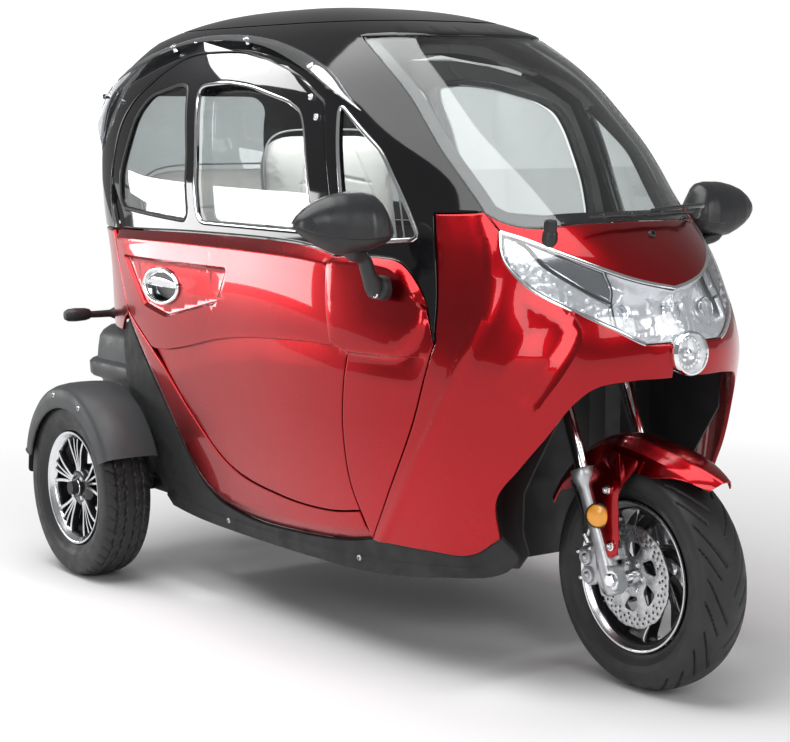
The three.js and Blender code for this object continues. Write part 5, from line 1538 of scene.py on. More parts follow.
def rear_rims():
    """A black barrel with a machined lip, and spokes in fours, their flat tops machined."""
    b = Build()
    barrel = [[148, -53], [151, -53], [152, -50], [149, -46], [142, -42], [136, -30], [135, 0], [136, 30],
              [142, 42], [149, 46], [152, 50], [151, 53], [148, 53], [145, 51], [142, 47], [137, 42],
              [131, 34], [130, 20], [130, -20], [131, -34], [137, -42], [142, -47], [145, -51]]
    machined = {9, 10, 11, 12, 13, 14, 15}
    verts, faces = lathe(barrel, RIM_SEGMENTS, True)
    add_to_wheel(b, verts, faces)
    for i in range(len(faces)):
        b.marks[i] = 1 if i // RIM_SEGMENTS in machined else 0
    inner, outer = REAR_SPOKE_REACH
    r = np.linspace(inner, outer, 14)
    share = (r - inner) / (outer - inner)
    for k in range(REAR_SPOKES):
        middle = math.radians(90 + 360 / REAR_SPOKES * k)
        for start, end, wide in ((-9, -19, 5.0), (9, 19, 5.0), (-2.4, -4.8, 3.6), (2.4, 4.8, 3.6)):
            a = middle + np.radians(start + (end - start) * share)
            path = polar(r, a)
            across = np.column_stack([-np.sin(a), np.cos(a)])
            outline = np.vstack([path - across * wide, (path + across * wide)[::-1]])
            v, f = outline_plate(outline, 0, 20, 1.2)
            radius = np.linalg.norm(v[:, :2], axis=1)
            v[:, 2] += REAR_SPOKE_RISE - 8 + 7 * blend(radius, 44, 120)
            flat_top = [np.ptp(v[face, 2]) < 9 and len(face) == 3
                        and np.mean(v[face, 2]) > REAR_SPOKE_RISE + 6 for face in f]
            b.add(to_wheel(v), f, 0)
            for i, top in enumerate(flat_top):
                if top:
                    b.marks[len(b.marks) - len(f) + i] = 1
    v, f = lathe([[21, -26], [58, -26], [60, -22], [60, 18], [56, 26], [44, 34], [24, 35], [21, 34]], 60,
                 True)
    add_to_wheel(b, v, f)
    v, f = lathe([[23, 34], [23, 40], [20, 44], [10, 45.5], [0.01, 45.8]], 40)
    add_to_wheel(b, v, f)
    v, f = lathe([[22.5, 39.5], [21.6, 42.2], [19.8, 43.6], [18.6, 43]], 40)
    add_to_wheel(b, v, f, 1)
    for k in range(4):
        at = to_wheel([[*polar(36, math.pi / 4 + k * math.pi / 2)[0], 33]])[0]
        b.turned_to(at, (0, -1, 0), *hex_nut(7, 8), mark=1)
    base = np.vstack(b.verts)
    for side, sign in SIDES.items():
        place = base + np.array([0, -HALF_TRACK, REAR_RADIUS])
        made, turned = (place, b.faces) if sign > 0 else mirrored(place, b.faces)
        mesh_piece(f"rear_rim_cast_{side}", made, turned, f"rear_wheel_{side}", [RIM_BLACK, ALLOY],
                   marks=b.marks, replaces=[f"rear_rim_{side}"], slot="rear_alloy", sharp=34)


tyres()
front_rim()
brake_disc()
rear_rims()


# ---------------------------------------------------------------- fork, caliper and front mudguard
FORK_UP = np.array([-math.sin(RAKE), 0, math.cos(RAKE)])
FORK_AHEAD = np.array([math.cos(RAKE), 0, math.sin(RAKE)])


def on_fork(s, offset, y):
    """A place on the fork: s up the legs from the wheel's axle, offset behind it, y across."""
    return np.array(FRONT_WHEEL, float) - FORK_AHEAD * offset + FORK_UP * s + np.array([0, y, 0])


def in_fork(verts, s, offset, y):
    """Shapes drawn with X ahead, Y across and Z up the leg, put at a place on the fork."""
    v = np.asarray(verts, float)
    return v @ np.array([FORK_AHEAD, [0, 1, 0], FORK_UP]) + on_fork(s, offset, y)


def fork_top():
    """The bridge with its clamps and bolts, the stem, and the two chromed stanchions."""
    b = Build()
    bridge = rounded([[-30, -118], [30, -118], [34, -60], [30, 0], [34, 60], [30, 118], [-30, 118],
                      [-26, 0]], 18, 7)
    v, f = outline_plate(bridge, -12, 12, 3)
    b.add(in_fork(v, 450, (FORK_OFFSET + STEM_OFFSET) / 2, 0), f, 0)
    b.add(*tube([on_fork(s, STEM_OFFSET, 0) for s in (442, 450, 690, 700)], 15, 24), 1)
    b.add(*tube([on_fork(s, STEM_OFFSET, 0) for s in (458, 462, 474, 478)], [22, 25, 25, 22], 28), 1)
    for y in (-LEG_Y, LEG_Y):
        b.add(*tube([on_fork(s, FORK_OFFSET, y) for s in (130, 136, 250, 456, 462)], [14.5, 16, 16, 16, 15],
                    32), 2)
        b.add(*tube([on_fork(s, FORK_OFFSET, y) for s in (434, 437, 463, 466)], [22, 24, 24, 22], 32), 0)
        b.turned_to(on_fork(464, FORK_OFFSET, y), FORK_UP, *bolt_head(11, 7), mark=4)
        b.turned_to(on_fork(450, FORK_OFFSET - 26, y + math.copysign(2, y)), FORK_AHEAD, *bolt_head(6.5, 6),
                    mark=4)
    return b.piece("fork_top", "steering", [FRAME, STEEL, CHROME, SEAL, CHROME], replaces=["fork_yoke"],
                   slot="frame_steel", sharp=36)


def fork_bottom():
    """The two sliding legs with their seals, feet and lugs, and the front axle with its nuts."""
    b = Build()
    for y in (-LEG_Y, LEG_Y):
        out = math.copysign(1, y)
        stops = [-30, -27, -10, 24, 60, 120, 205, 222, 228, 246, 250]
        radii = [17, 20, 22, 22.5, 20.5, 20, 20.5, 24, 27.5, 28, 26.5]
        b.add(*tube([on_fork(s, FORK_OFFSET, y) for s in stops], radii, 36, caps=False), 0)
        b.add(*tube([on_fork(s, FORK_OFFSET, y) for s in (-30, -31.5)], [17, 0.1], 36, caps=False), 0)
        b.add(*tube([on_fork(s, FORK_OFFSET, y) for s in (249, 251, 252, 250)], [26.5, 25.5, 17.2, 16.4],
                    36, caps=False), 1)
        foot = rounded([[-34, -30], [26, -26], [28, 22], [8, 34], [-30, 34]], 12, 5)
        v, f = outline_plate(foot, -17, 17, 3)
        v = np.column_stack([v[:, 0], v[:, 2] * out, v[:, 1]])
        f = f if out > 0 else [q[::-1] for q in f]
        b.add(in_fork(v, 2, FORK_OFFSET - 4, y), f, 0)
        b.turned_to(np.array(FRONT_WHEEL) + [0, y + out * 16, 0], (0, out, 0), *hex_nut(15, 10), mark=2)
        b.turned_to(np.array(FRONT_WHEEL) + [0, y + out * 14, 0], (0, out, 0),
                    *lathe([[20, 0], [20, 3], [15, 3.4]], 32), mark=2)
        b.turned_to(on_fork(-20, FORK_OFFSET - 21, y), FORK_AHEAD, *bolt_head(5, 5), mark=2)
        for s in (52, 166):
            lug = rounded([[-14, -13], [14, -13], [14, 13], [-14, 13]], 8, 4)
            v, f = outline_plate(lug, -9, 9, 2)
            v = np.column_stack([v[:, 0], -v[:, 2], v[:, 1]])
            b.add(in_fork(v, s, FORK_OFFSET - 30, y - out * 8), f, 0)
    axle = np.array(FRONT_WHEEL, float)
    b.add(*tube([axle + [0, y, 0] for y in (-104, -103, 103, 104)], [8, 9, 9, 8], 24), 2)
    for y in (-60, 52):
        b.add(*tube([axle + [0, y, 0], axle + [0, y + 14, 0]], 15, 28), 2)
    return b.piece("fork_bottom", "fork", [CAST, SEAL, CHROME], replaces=["fork_lowers"], slot="cast_alloy",
                   sharp=36)


def caliper():
    """A two-piston caliper behind the right leg, across the disc, with its bracket, bolts and hose."""
    b = Build()
    at = np.array([1551, -50, 258.0])
    turn = math.radians(14)

    def put(verts, y):
        v = np.asarray(verts, float)
        x = v[:, 0] * math.cos(turn) - v[:, 1] * math.sin(turn)
        z = v[:, 0] * math.sin(turn) + v[:, 1] * math.cos(turn)
        return np.column_stack([x, -v[:, 2], z]) + at + [0, y, 0]

    body = rounded([[-24, -42], [8, -44], [24, -30], [20, -4], [24, 28], [10, 44], [-20, 44], [-28, 30],
                    [-22, 4], [-30, -22]], 10, 5)
    v, f = outline_plate(body, 6, 27, 4)
    b.add(put(v, 0), f, 0)
    v, f = outline_plate(drawn_in(body, 3), -24, -8, 3)
    b.add(put(v, 0), f, 0)
    for x, z in ((-6, 20), (-8, -20)):
        v, f = lathe([[19, 18], [19, 31], [17, 34.5], [13.5, 35], [12.5, 33.5], [0.01, 33.5]], 36)
        b.add(put(v + [x, z, 0], 0), f, 0)
        v, f = lathe([[8, 33], [8, 36], [6.5, 37], [0.01, 37]], 28)
        b.add(put(v + [x, z, 0], 0), f, 2)
    for x, z in ((-24, 34), (-28, -24), (16, 38)):
        v, f = lathe([[7.2, -26], [7.2, 30], [5.8, 32]], 20)
        b.add(put(v + [x, z, 0], 0), f, 0)
        v, f = bolt_head(5.6, 6)
        b.add(put(v + [x, z, 31], 0), f, 1)
    v, f = lathe([[3.4, 0], [3.4, 12], [2.2, 13], [2.2, 18], [0.01, 18.5]], 14)
    b.turned_to(at + [-22, -18, 44], unit([-0.5, 0, 0.86]), v, f, mark=1)
    bracket = rounded([[8, 46], [52, 40], [66, 12], [50, -14], [12, -36], [4, 0]], 8, 5)
    v, f = outline_plate(bracket, 8, 15, 1.5)
    b.add(put(v, 0), f, 0)
    for x, z in ((44, 28), (46, 0)):
        v, f = bolt_head(6.5, 6)
        b.add(put(v + [x, z, 15], 0), f, 1)
    b.piece("caliper_body", "fork", [CAST, CHROME, STEEL], replaces=["brake_caliper"], slot="cast_alloy",
            sharp=36)
    hose = curve([at + [-18, -16, 46], at + [-30, -20, 70], at + [-38, -22, 118], at + [-64, -26, 176],
                  on_fork(232, FORK_OFFSET + 36, -LEG_Y + 6), on_fork(262, FORK_OFFSET + 40, -LEG_Y + 16)], 7)
    line = Build()
    line.add(*tube(hose, 3.6, 12), 0)
    line.add(*tube(hose[:4], 5, 14), 1)
    v, f = lathe([[7, -5], [8, -3], [8, 3], [7, 5]], 18)
    line.turned_to(on_fork(222, FORK_OFFSET + 32, -LEG_Y + 3), FORK_UP, v, f, mark=0)
    line.piece("brake_hose_lower", "fork", [SEAL, CHROME])


FRONT_GUARD = {"from": 46, "to": 152, "radius": 286, "half_width": 76, "ear_y": 98}


def front_mudguard():
    """A shell swept round the tyre, drawn in to a lifted tip, with an ear, bolts and a lamp on each side."""
    angles = np.radians(np.linspace(FRONT_GUARD["from"], FRONT_GUARD["to"], 60))
    t = (angles - angles[0]) / (angles[-1] - angles[0])
    across = np.array([-1, -0.99, -0.965, -0.92, -0.84, -0.72, -0.6, -0.5, -0.46, -0.4, -0.3, -0.2, -0.1, 0])
    across = np.concatenate([across, -across[:-1][::-1]])
    places = np.zeros((len(angles), len(across), 3))
    for i, (a, share) in enumerate(zip(angles, t)):
        tip = max(0.0, 1 - 3.2 * share)
        lift = 9 + 14 * blend(share, 0.34, 0.6) + 34 * tip**1.6
        width = FRONT_GUARD["half_width"] - 4 * blend(share, 0.22, 0.36) - 46 * tip**2.6
        skirt = 10 * blend(share, 0.15, 0.45) + 24 * blend(share, 0.06, 0.26) * (1 - blend(share, 0.62, 0.9))
        for j, v in enumerate(across):
            drop = 26 * abs(v) ** 2.4
            ridge = 3.5 * blend(abs(v), 0.42, 0.52)
            r = FRONT_GUARD["radius"] + lift - drop - ridge - skirt * blend(abs(v), 0.86, 1.0)
            places[i, j] = [FRONT_WHEEL[0] + r * math.cos(a), v * width, FRONT_WHEEL[2] + r * math.sin(a)]
    normals = guard_normals(places)
    if normals[30, len(across) // 2, 2] < 0:
        normals = -normals
    verts, faces = swept_shell((places, normals), 3)
    b = Build().add(verts, faces, 0)
    ear = rounded([[1626, 292], [1662, 300], [1668, 342], [1662, 432], [1700, 512], [1590, 524], [1560, 470],
                   [1574, 418], [1608, 345]], 12, 6)
    for sign in (1, -1):
        v, f = outline_plate(ear, 0, 5, 1.6)
        flare = FRONT_GUARD["ear_y"] - 24 * blend(v[:, 1], 440, 500)
        rib = 4 * blend(v[:, 0] + (v[:, 1] - 300) * 0.10, 1650, 1662) * (v[:, 2] > 2)
        placed = np.column_stack([v[:, 0], -sign * (flare + v[:, 2] - rib), v[:, 1]])
        b.add(placed, f if sign > 0 else [q[::-1] for q in f], 0)
        for x, z in ((1632, 441), (1646, 322)):
            b.turned_to([x, -sign * 101, z], (0, -sign, 0), *lathe([[11, 0], [11, 4], [8, 4.6]], 24), mark=1)
            b.turned_to([x, -sign * 104.5, z], (0, -sign, 0), *bolt_head(7.5, 7), mark=1)
        lamp_at, facing = [1607, -sign * 103, 382], unit([0.50, -sign * 0.86, 0])
        b.turned_to(lamp_at, facing, *lathe([[24, -12], [27, -2], [28, 4], [27.5, 8], [25, 10]], 44), mark=3)
        b.turned_to(lamp_at, facing, *lathe([[25, 8], [22, 12], [13, 15], [0.01, 16]], 44), mark=2)
    b.piece("mudguard_front_shell", "fork", [PAINT, CHROME, AMBER, SATIN], replaces=["front_mudguard"],
            slot="red_paint", sharp=30)


# ---------------------------------------------------------------- mirrors, handles, wiper and fittings
MIRROR = {"knuckle": (1275, 448, 866), "head": (1306, 548, 1006)}


def mirror_head():
    """A closed housing from sections across the head, the outboard tip first, and its glass."""
    b = Build()
    hx, hy, hz = MIRROR["head"]
    v = np.linspace(-1, 1, 44)
    top = np.interp(v, [-1, -0.93, -0.75, -0.55, -0.3, 0.0, 0.4, 0.6, 0.72, 0.86, 1.0],
                    [2, 16, 34, 48, 58, 65, 66, 62, 50, 22, -10])
    low = np.interp(v, [-1, -0.8, -0.55, -0.3, -0.1, 0.2, 0.5, 0.75, 0.92, 1.0],
                    [-6, -26, -44, -58, -66, -65, -58, -49, -41, -34])
    fold = np.interp(v, [-1, -0.7, -0.3, 0.1, 0.5, 0.8, 1.0], [-2, -16, -26, -32, -30, -26, -22])
    deep = np.interp(v, [-1, -0.92, -0.75, -0.5, -0.1, 0.4, 0.75, 0.92, 1.0],
                     [4, 17, 32, 46, 58, 66, 62, 46, 22])
    back_x = -26.0
    rows = []
    for vi, ti, li, fi, di in zip(v, top, low, fold, deep):
        y = -hy + vi * 116.5
        turn = np.linspace(0, math.pi / 2, 12)
        upper = [[back_x + di * math.sin(t) ** 0.85, y, fi + (ti - fi) * max(math.cos(t), 0) ** 0.8]
                 for t in turn]
        crease = [[back_x + di - 2.2, y, fi - 1.6]]
        under = [[back_x + (di - 3) * math.cos(t) ** 0.9, y, fi - 2.2 + (li - fi + 2) * math.sin(t) ** 0.9]
                 for t in turn]
        rim = [[back_x - 6, y, li * 0.97], [back_x - 8, y, li * 0.90], [back_x - 2, y, li * 0.87]]
        rim += [[back_x - 2, y, ti * 0.87], [back_x - 8, y, ti * 0.90], [back_x - 6, y, ti * 0.97]]
        rows.append(upper + crease + under + rim)
    rows = np.array(rows)
    n = rows.shape[1]
    verts = rows.reshape(-1, 3) + [hx, 0, hz]
    faces = grid_faces(len(v), n, False, True)
    faces += [list(range(n)), [(len(v) - 1) * n + i for i in range(n)][::-1]]
    b.add(verts, [f[::-1] for f in faces], 0)
    for i in range((len(v) - 1) * n):
        b.marks[i] = 1 if i % n >= 12 else 0
    glass = Build()
    inner_v = v[2:-2]
    edge_top = np.column_stack([np.full(len(inner_v), back_x - 2.6), -hy + inner_v * 114, top[2:-2] * 0.86])
    edge_low = np.column_stack([np.full(len(inner_v), back_x - 2.6), -hy + inner_v * 114, low[2:-2] * 0.86])
    loop = np.vstack([edge_top, edge_low]) + [hx, 0, hz]
    m = len(inner_v)
    glass.add(loop, [[i, i + m, i + m + 1, i + 1] for i in range(m - 1)], 0)
    return b, glass


def mirrors():
    """Each mirror's head and glass on a bent arm, with a foot and two screws."""
    kx, ky, kz = MIRROR["knuckle"]
    hx, hy, hz = MIRROR["head"]
    for side, sign in SIDES.items():
        b, glass = mirror_head()
        path = curve([[kx, -ky, kz - 12], [kx + 4, -ky - 12, kz + 2], [kx + 10, -ky - 30, kz + 30],
                      [kx + 14, -ky - 46, kz + 62], [hx - 10, -hy + 16, hz - 60],
                      [hx - 10, -hy + 12, hz - 30]], 7)
        share = np.linspace(0, 1, len(path))
        b.add(*tube(path, np.interp(share, [0, 0.12, 0.3, 0.6, 0.85, 1], [20, 22, 17, 14.5, 17, 20]), 24), 1)
        foot = rounded([[-26, -22], [22, -26], [32, -6], [24, 26], [-10, 30], [-30, 12]], 14, 5)
        v, f = outline_plate(foot, -8, 20, 6)
        outward = unit([0.22, -0.97, 0.08])
        b.turned_to([kx, -ky + 9, kz - 4], outward, v, f, mark=1)
        for x, z in ((14, -9), (-12, 6)):
            at = np.array([kx + x, -ky - 10 - 0.2 * x, kz - 8 + z])
            b.turned_to(at, outward, *bolt_head(6.5, 6), mark=2)
        b.piece(f"mirror_housing_{side}", f"mirror_{side}", [SATIN, DARK, CHROME], sign,
                replaces=[f"mirror_{side}"], slot="black_plastic", sharp=34)
        glass.piece(f"mirror_pane_{side}", f"mirror_{side}", [MIRROR_GLASS], sign)


def handles():
    """Each door handle: the bezel round its bowl on the door, and the lid that the hand pulls."""
    x, z, a, c = HANDLE
    for side, sign in SIDES.items():
        ring = Build()
        ring.add(*bead(handle_oval(-1.0), 6.0, -7.0, sides=12, flat=1.0), 0)
        t = np.linspace(0, 2 * math.pi, 48, endpoint=False)
        rows = []
        for share, deep in ((1.0, -9), (0.94, -14), (0.86, -24), (0.70, -33), (0.45, -37), (0.15, -38),
                            (0.002, -38)):
            chart = chart_of(np.column_stack([x + a * share * np.cos(t), z + c * share * np.sin(t)]))
            rows.append(on_body(chart) + body_normal(chart) * deep)
        faces = grid_faces(len(rows), 48, False, True)
        ring.add(np.vstack(rows), faces, 1)
        ring.piece(f"handle_bezel_{side}", f"door_{side}", [CHROME, HANDLE_BOWL], sign)
        lid = Build()
        u = np.linspace(-0.93, 0.93, 40)
        grid = []
        for row in np.linspace(0, 1, 9):
            top = 0.93 * np.sqrt(np.maximum(1 - u**2 / 0.93**2 * 0.985, 0.0))
            bottom = -0.10 + 0.06 * u**2
            zz = bottom + (top - bottom) * row
            chart = chart_of(np.column_stack([x + a * u, z + c * zz]))
            lift = -8.5 + 7 * np.sin(np.clip(row * 1.1, 0, 1) * math.pi) * (1 - u**2) - 3 * (row < 0.01)
            grid.append(on_body(chart) + body_normal(chart) * np.reshape(lift, (-1, 1)))
        places = np.array(grid)
        normals = guard_normals(places)
        if normals[4, 20, 1] > 0:
            normals = -normals
        v, f = swept_shell((places, normals), 4)
        lid.add(v, f, 0)
        lid.piece(f"handle_lid_{side}", f"handle_{side}", [CHROME], sign, replaces=[f"door_handle_{side}"],
                  slot="handle_chrome", sharp=40)


def wiper():
    """The spindle's cap, the arm, and the blade with its clips."""
    b = Build()
    foot, pivot = np.array([1496, 264, 1014.0]), np.array([1508, 265, 1029.0])
    ends = np.array([[1593, 169, 1020.0], [1611, -148, 1016.0]])
    up = unit(pivot - foot)
    b.turned_to(foot - up * 4, up, *lathe([[17, 0], [17, 6], [13, 12], [12, 20], [9, 24], [0.01, 25]], 28),
                mark=0)
    arm = curve([pivot, [1560, 226, 1033], [1600, 120, 1034], [1612, 30, 1030]], 10)
    share = np.linspace(0, 1, len(arm))
    b.add(*tube(arm, np.interp(share, [0, 0.2, 0.5, 1], [8.5, 7, 4.5, 3.2]), 12), 0)
    spine = curve([ends[0] + [2, 0, 4], [1613, 30, 1023], ends[1] + [2, 0, 4]], 10)
    b.add(*tube(spine, 3.4, 10), 0)
    blade = curve([ends[0], [1609, 30, 1015], ends[1]], 10)
    b.add(*tube(blade, 2.6, 8), 1)
    for share in (0.12, 0.36, 0.64, 0.88):
        at = spine[int(share * (len(spine) - 1))]
        v, f = block((8, 14, 10), 2)
        b.add(v + at + [0, 0, 1], f, 0)
    b.piece("wiper_assembly", "wiper", [SATIN, SEAL], replaces=["wiper_arm"], slot="black_plastic")


def fittings():
    """Small fastenings and lamps: on the bonnet, the rear indicators, the sash studs and the sill screws."""
    b = Build()
    up = unit([0.16, -0.06, 0.98])
    b.turned_to([1562, -211, 958], up, *lathe([[17, 0], [17, 14], [16, 30], [14, 34]], 32), mark=0)
    b.turned_to([1567, -213, 990], up, *hex_nut(14.5, 24), mark=0)
    b.turned_to([1626, 17, 978], unit([0.75, 0.05, 0.65]), *bolt_head(9, 8), mark=1)
    b.piece("bonnet_fittings", "body", [DARK, SATIN])
    for side, sign in SIDES.items():
        stalk = Build()
        path = [[-100, -375, 690], [-100, -392, 690], [-100, -430, 690], [-100, -474, 691]]
        stem = curve(path, 8)
        radii = np.interp(np.linspace(0, 1, len(stem)), [0, 0.15, 1], [17, 10, 9])
        stalk.add(*tube(stem, radii, 16), 0)
        head = [[0.01, -52], [9, -51], [14, -46], [17, -34], [18.5, -6], [17, 16], [12, 26], [0.01, 27]]
        v, f = lathe(head[::-1], 36)
        v = v * [0.8, 1.0, 1.0]
        stalk.turned_to([-100, -500, 692], (0, -1, 0), *(v, [q[::-1] for q in f]), mark=0)
        v, f = lathe([[11, -30], [11, 4], [8, 14], [0.01, 15]], 32)
        stalk.turned_to([-112, -498, 692], (-1, 0, 0), v * [1, 1, 0.3], f, mark=1)
        stalk.piece(f"rear_indicator_{side}", "body", [DARK, AMBER], sign)
        # Two bright fasteners on the door sash's upper front corner.
        studs = Build()
        for x, z in ((906, 1272), (944, 1226)):
            place, normal = on_side(x, z)
            studs.turned_to(place - normal * 1.5, normal, *bolt_head(8, 5), mark=0)
        studs.piece(f"sash_studs_{side}", f"door_{side}", [CHROME], sign)
        plug = Build()
        for x, z in ((1122, 236), (560, 226)):
            place, normal = on_side(x, z)
            plug.turned_to(place - normal * 2, normal, *bolt_head(7, 6), mark=0)
        plug.piece(f"sill_screws_{side}", "body", [STEEL], sign)


def rain_strips():
    """A clear strip standing off the roof's shoulder over each door, held by clips."""
    upper = curve([[-165, 1249], [7, 1376], [193, 1419], [386, 1428], [659, 1405], [932, 1333],
                   [1084, 1238]], 12)
    lower = curve([[-215, 1130], [-120, 1290], [40, 1352], [200, 1392], [400, 1402], [640, 1382],
                   [880, 1322], [1084, 1238]], 12)
    n = 70
    even = np.linspace(0, 1, n)
    up = np.column_stack([np.interp(even, np.linspace(0, 1, len(upper)), upper[:, i]) for i in range(2)])
    down = np.column_stack([np.interp(even, np.linspace(0, 1, len(lower)), lower[:, i]) for i in range(2)])
    rows = []
    for share, lift in ((0.0, 2), (0.06, 7), (0.3, 15), (0.6, 20), (0.9, 22), (1.0, 21)):
        chart = chart_of(up * (1 - share) + down * share)
        taper = blend(even, 0, 0.06) * (1 - blend(even, 0.94, 1))
        rows.append(on_body(chart) + body_normal(chart) * np.reshape(2 + (lift - 2) * taper, (-1, 1)))
    places = np.array(rows)
    normals = guard_normals(places)
    if normals[3, n // 2, 1] > 0:
        normals = -normals
    verts, faces = swept_shell((places, normals), 2.5)
    for side, sign in SIDES.items():
        b = Build().add(verts, faces, 0)
        for k in (6, 22, 40, 58):
            at, normal = places[3, k], normals[3, k]
            b.turned_to(at - normal * 16, normal,
                        *lathe([[7, 0], [6, 12], [9, 16], [8, 19], [0.01, 20]], 20), mark=1)
        b.piece(f"rain_strip_{side}", "body", [ACRYLIC, CHROME], sign, sharp=50)


fork_top()
fork_bottom()
caliper()
front_mudguard()
mirrors()
handles()
wiper()
fittings()
rain_strips()


# ---------------------------------------------------------------- seats
SEAT_VOXEL = 0.006
PRESSURE = 4.0
SWELL_CAP = 0.009
SEAT_TOP = 560
BACK_TILT = -0.2


def pad_blank(length, width, thick, power=5.0):
    """A crowned closed form on z = 0 to thick, its sides pulled in between its corners."""
    bm = bmesh.new()
    bmesh.ops.create_cube(bm, size=2.0)
    bmesh.ops.subdivide_edges(bm, edges=bm.edges, cuts=15, use_grid_fill=True)
    verts = np.array([v.co for v in bm.verts])
    faces = [[v.index for v in f.verts] for f in bm.faces]
    bm.free()
    plan = (np.abs(verts[:, 0]) ** power + np.abs(verts[:, 1]) ** power) ** (1 / power)
    plan = np.maximum(plan, np.max(np.abs(verts[:, :2]), axis=1))
    stretch = np.max(np.abs(verts[:, :2]), axis=1) / np.maximum(plan, 1e-6)
    flat = verts[:, :2] * stretch[:, None]
    radius = np.clip((np.abs(flat[:, 0]) ** power + np.abs(flat[:, 1]) ** power) ** (1 / power), 0, 1)
    pull = 1 - 0.018 * (np.cos(flat[:, 0] * math.pi / 2) * (np.abs(flat[:, 1]) > 0.5)
                        + np.cos(flat[:, 1] * math.pi / 2) * (np.abs(flat[:, 0]) > 0.5))
    edge_round = 1 - 0.10 * np.abs(verts[:, 2]) ** 4
    crown = np.where(verts[:, 2] > 0, 1 - 0.30 * radius**4, 1 - 0.12 * radius**4)
    x = flat[:, 0] * length / 2 * pull * edge_round
    y = flat[:, 1] * width / 2 * pull * edge_round
    z = thick / 2 + verts[:, 2] * crown * thick / 2
    return np.column_stack([x, y, z]), faces


def stuffed(obj):
    remesh = obj.modifiers.new("even", "REMESH")
    remesh.mode = "VOXEL"
    remesh.voxel_size = SEAT_VOXEL
    scene = bpy.context.scene
    graph = bpy.context.evaluated_depsgraph_get()
    mesh = bpy.data.meshes.new_from_object(obj.evaluated_get(graph))
    obj.modifiers.clear()
    obj.data = mesh
    rest = np.array([v.co for v in mesh.vertices])
    cloth = obj.modifiers.new("stuffing", "CLOTH")
    cloth.settings.use_pressure = True
    cloth.settings.uniform_pressure_force = PRESSURE
    cloth.settings.effector_weights.gravity = 0
    cloth.settings.tension_stiffness = 25
    for number in range(1, 21):
        scene.frame_set(number)
    graph = bpy.context.evaluated_depsgraph_get()
    blown = obj.evaluated_get(graph)
    moved = np.array([v.co for v in blown.data.vertices])
    obj.modifiers.clear()
    scene.frame_set(1)
    push = moved - rest
    size = np.linalg.norm(push, axis=1)
    push *= (np.minimum(size, SWELL_CAP) / np.maximum(size, 1e-9))[:, None]
    mesh.vertices.foreach_set("co", (rest + push).ravel())
    mesh.update()
    return obj


def sewn(obj, channels, depth=0.0045, wide=0.008):
    """Presses sewn channels into a pad: each channel is a line of [x, y] in the pad's plan, in metres."""
    subdivide = obj.modifiers.new("fine", "SUBSURF")
    subdivide.levels = 1
    graph = bpy.context.evaluated_depsgraph_get()
    mesh = bpy.data.meshes.new_from_object(obj.evaluated_get(graph))
    obj.modifiers.clear()
    obj.data = mesh
    co = np.array([v.co for v in mesh.vertices])
    normals = np.array([v.normal for v in mesh.vertices])
    press = np.zeros(len(co))
    for line in channels:
        gap = distance_to(co[:, :2], np.asarray(line, float))[0]
        press = np.maximum(press, np.exp(-((gap / (wide * 0.5)) ** 2)) * (normals[:, 2] > 0.2))
    co = co - normals * (press * depth)[:, None]
    mesh.vertices.foreach_set("co", co.ravel())
    mesh.update()
    return obj


def pad_piece(name, size, place, channels, node):
    """A padded piece drawn flat, simulated, sewn, and then put in its place, with its piping."""
    length, width, thick = size
    verts, faces = pad_blank(length - 12, width - 12, thick - 10)
    mesh = bpy.data.meshes.new(name)
    mesh.from_pydata((verts * MM).tolist(), [], faces)
    obj = bpy.data.objects.new(name, mesh)
    bpy.context.scene.collection.objects.link(obj)
    stuffed(obj)
    sewn(obj, [np.asarray(c, float) * [length / 2 * MM, width / 2 * MM] for c in channels])
    obj.data.transform(place)
    obj.data.materials.clear()
    obj.data.materials.append(LEATHER)
    obj.data.shade_smooth()
    finish_piece(obj, "body", [node])
    t = np.linspace(0, 2 * math.pi, 120, endpoint=False)
    power = 2 / 5.0
    rim = np.column_stack([
        np.sign(np.cos(t)) * np.abs(np.cos(t)) ** power * (length - 10) / 2,
        np.sign(np.sin(t)) * np.abs(np.sin(t)) ** power * (width - 10) / 2, np.full(len(t), thick * 0.72),
    ])
    loop = np.vstack([rim, rim[:1]])
    verts, faces = tube(loop, 2.6, 8, caps=False)
    piping = bpy.data.meshes.new(name + "_piping")
    piping.from_pydata((verts * MM).tolist(), [], faces)
    piping.transform(place)
    piping.materials.append(STITCH)
    piping.shade_smooth()
    seam = bpy.data.objects.new(name + "_piping", piping)
    bpy.context.scene.collection.objects.link(seam)
    finish_piece(seam, "body")


def placed(x, z, upright=False, lift=0.0):
    """Where a pad goes: flat at [x, z] on the centre line, or stood up there and leant back."""
    shift = Matrix.Translation(Vector(((x + SHIFT) * MM, 0, z * MM)))
    if not upright:
        return shift
    stand = Matrix(((0, 0, -1, 0), (0, 1, 0, 0), (1, 0, 0, 0), (0, 0, 0, 1)))
    lean = Matrix.Rotation(BACK_TILT, 4, "Y")
    return shift @ lean @ Matrix.Translation(Vector((lift * MM / 2, 0, 0))) @ stand


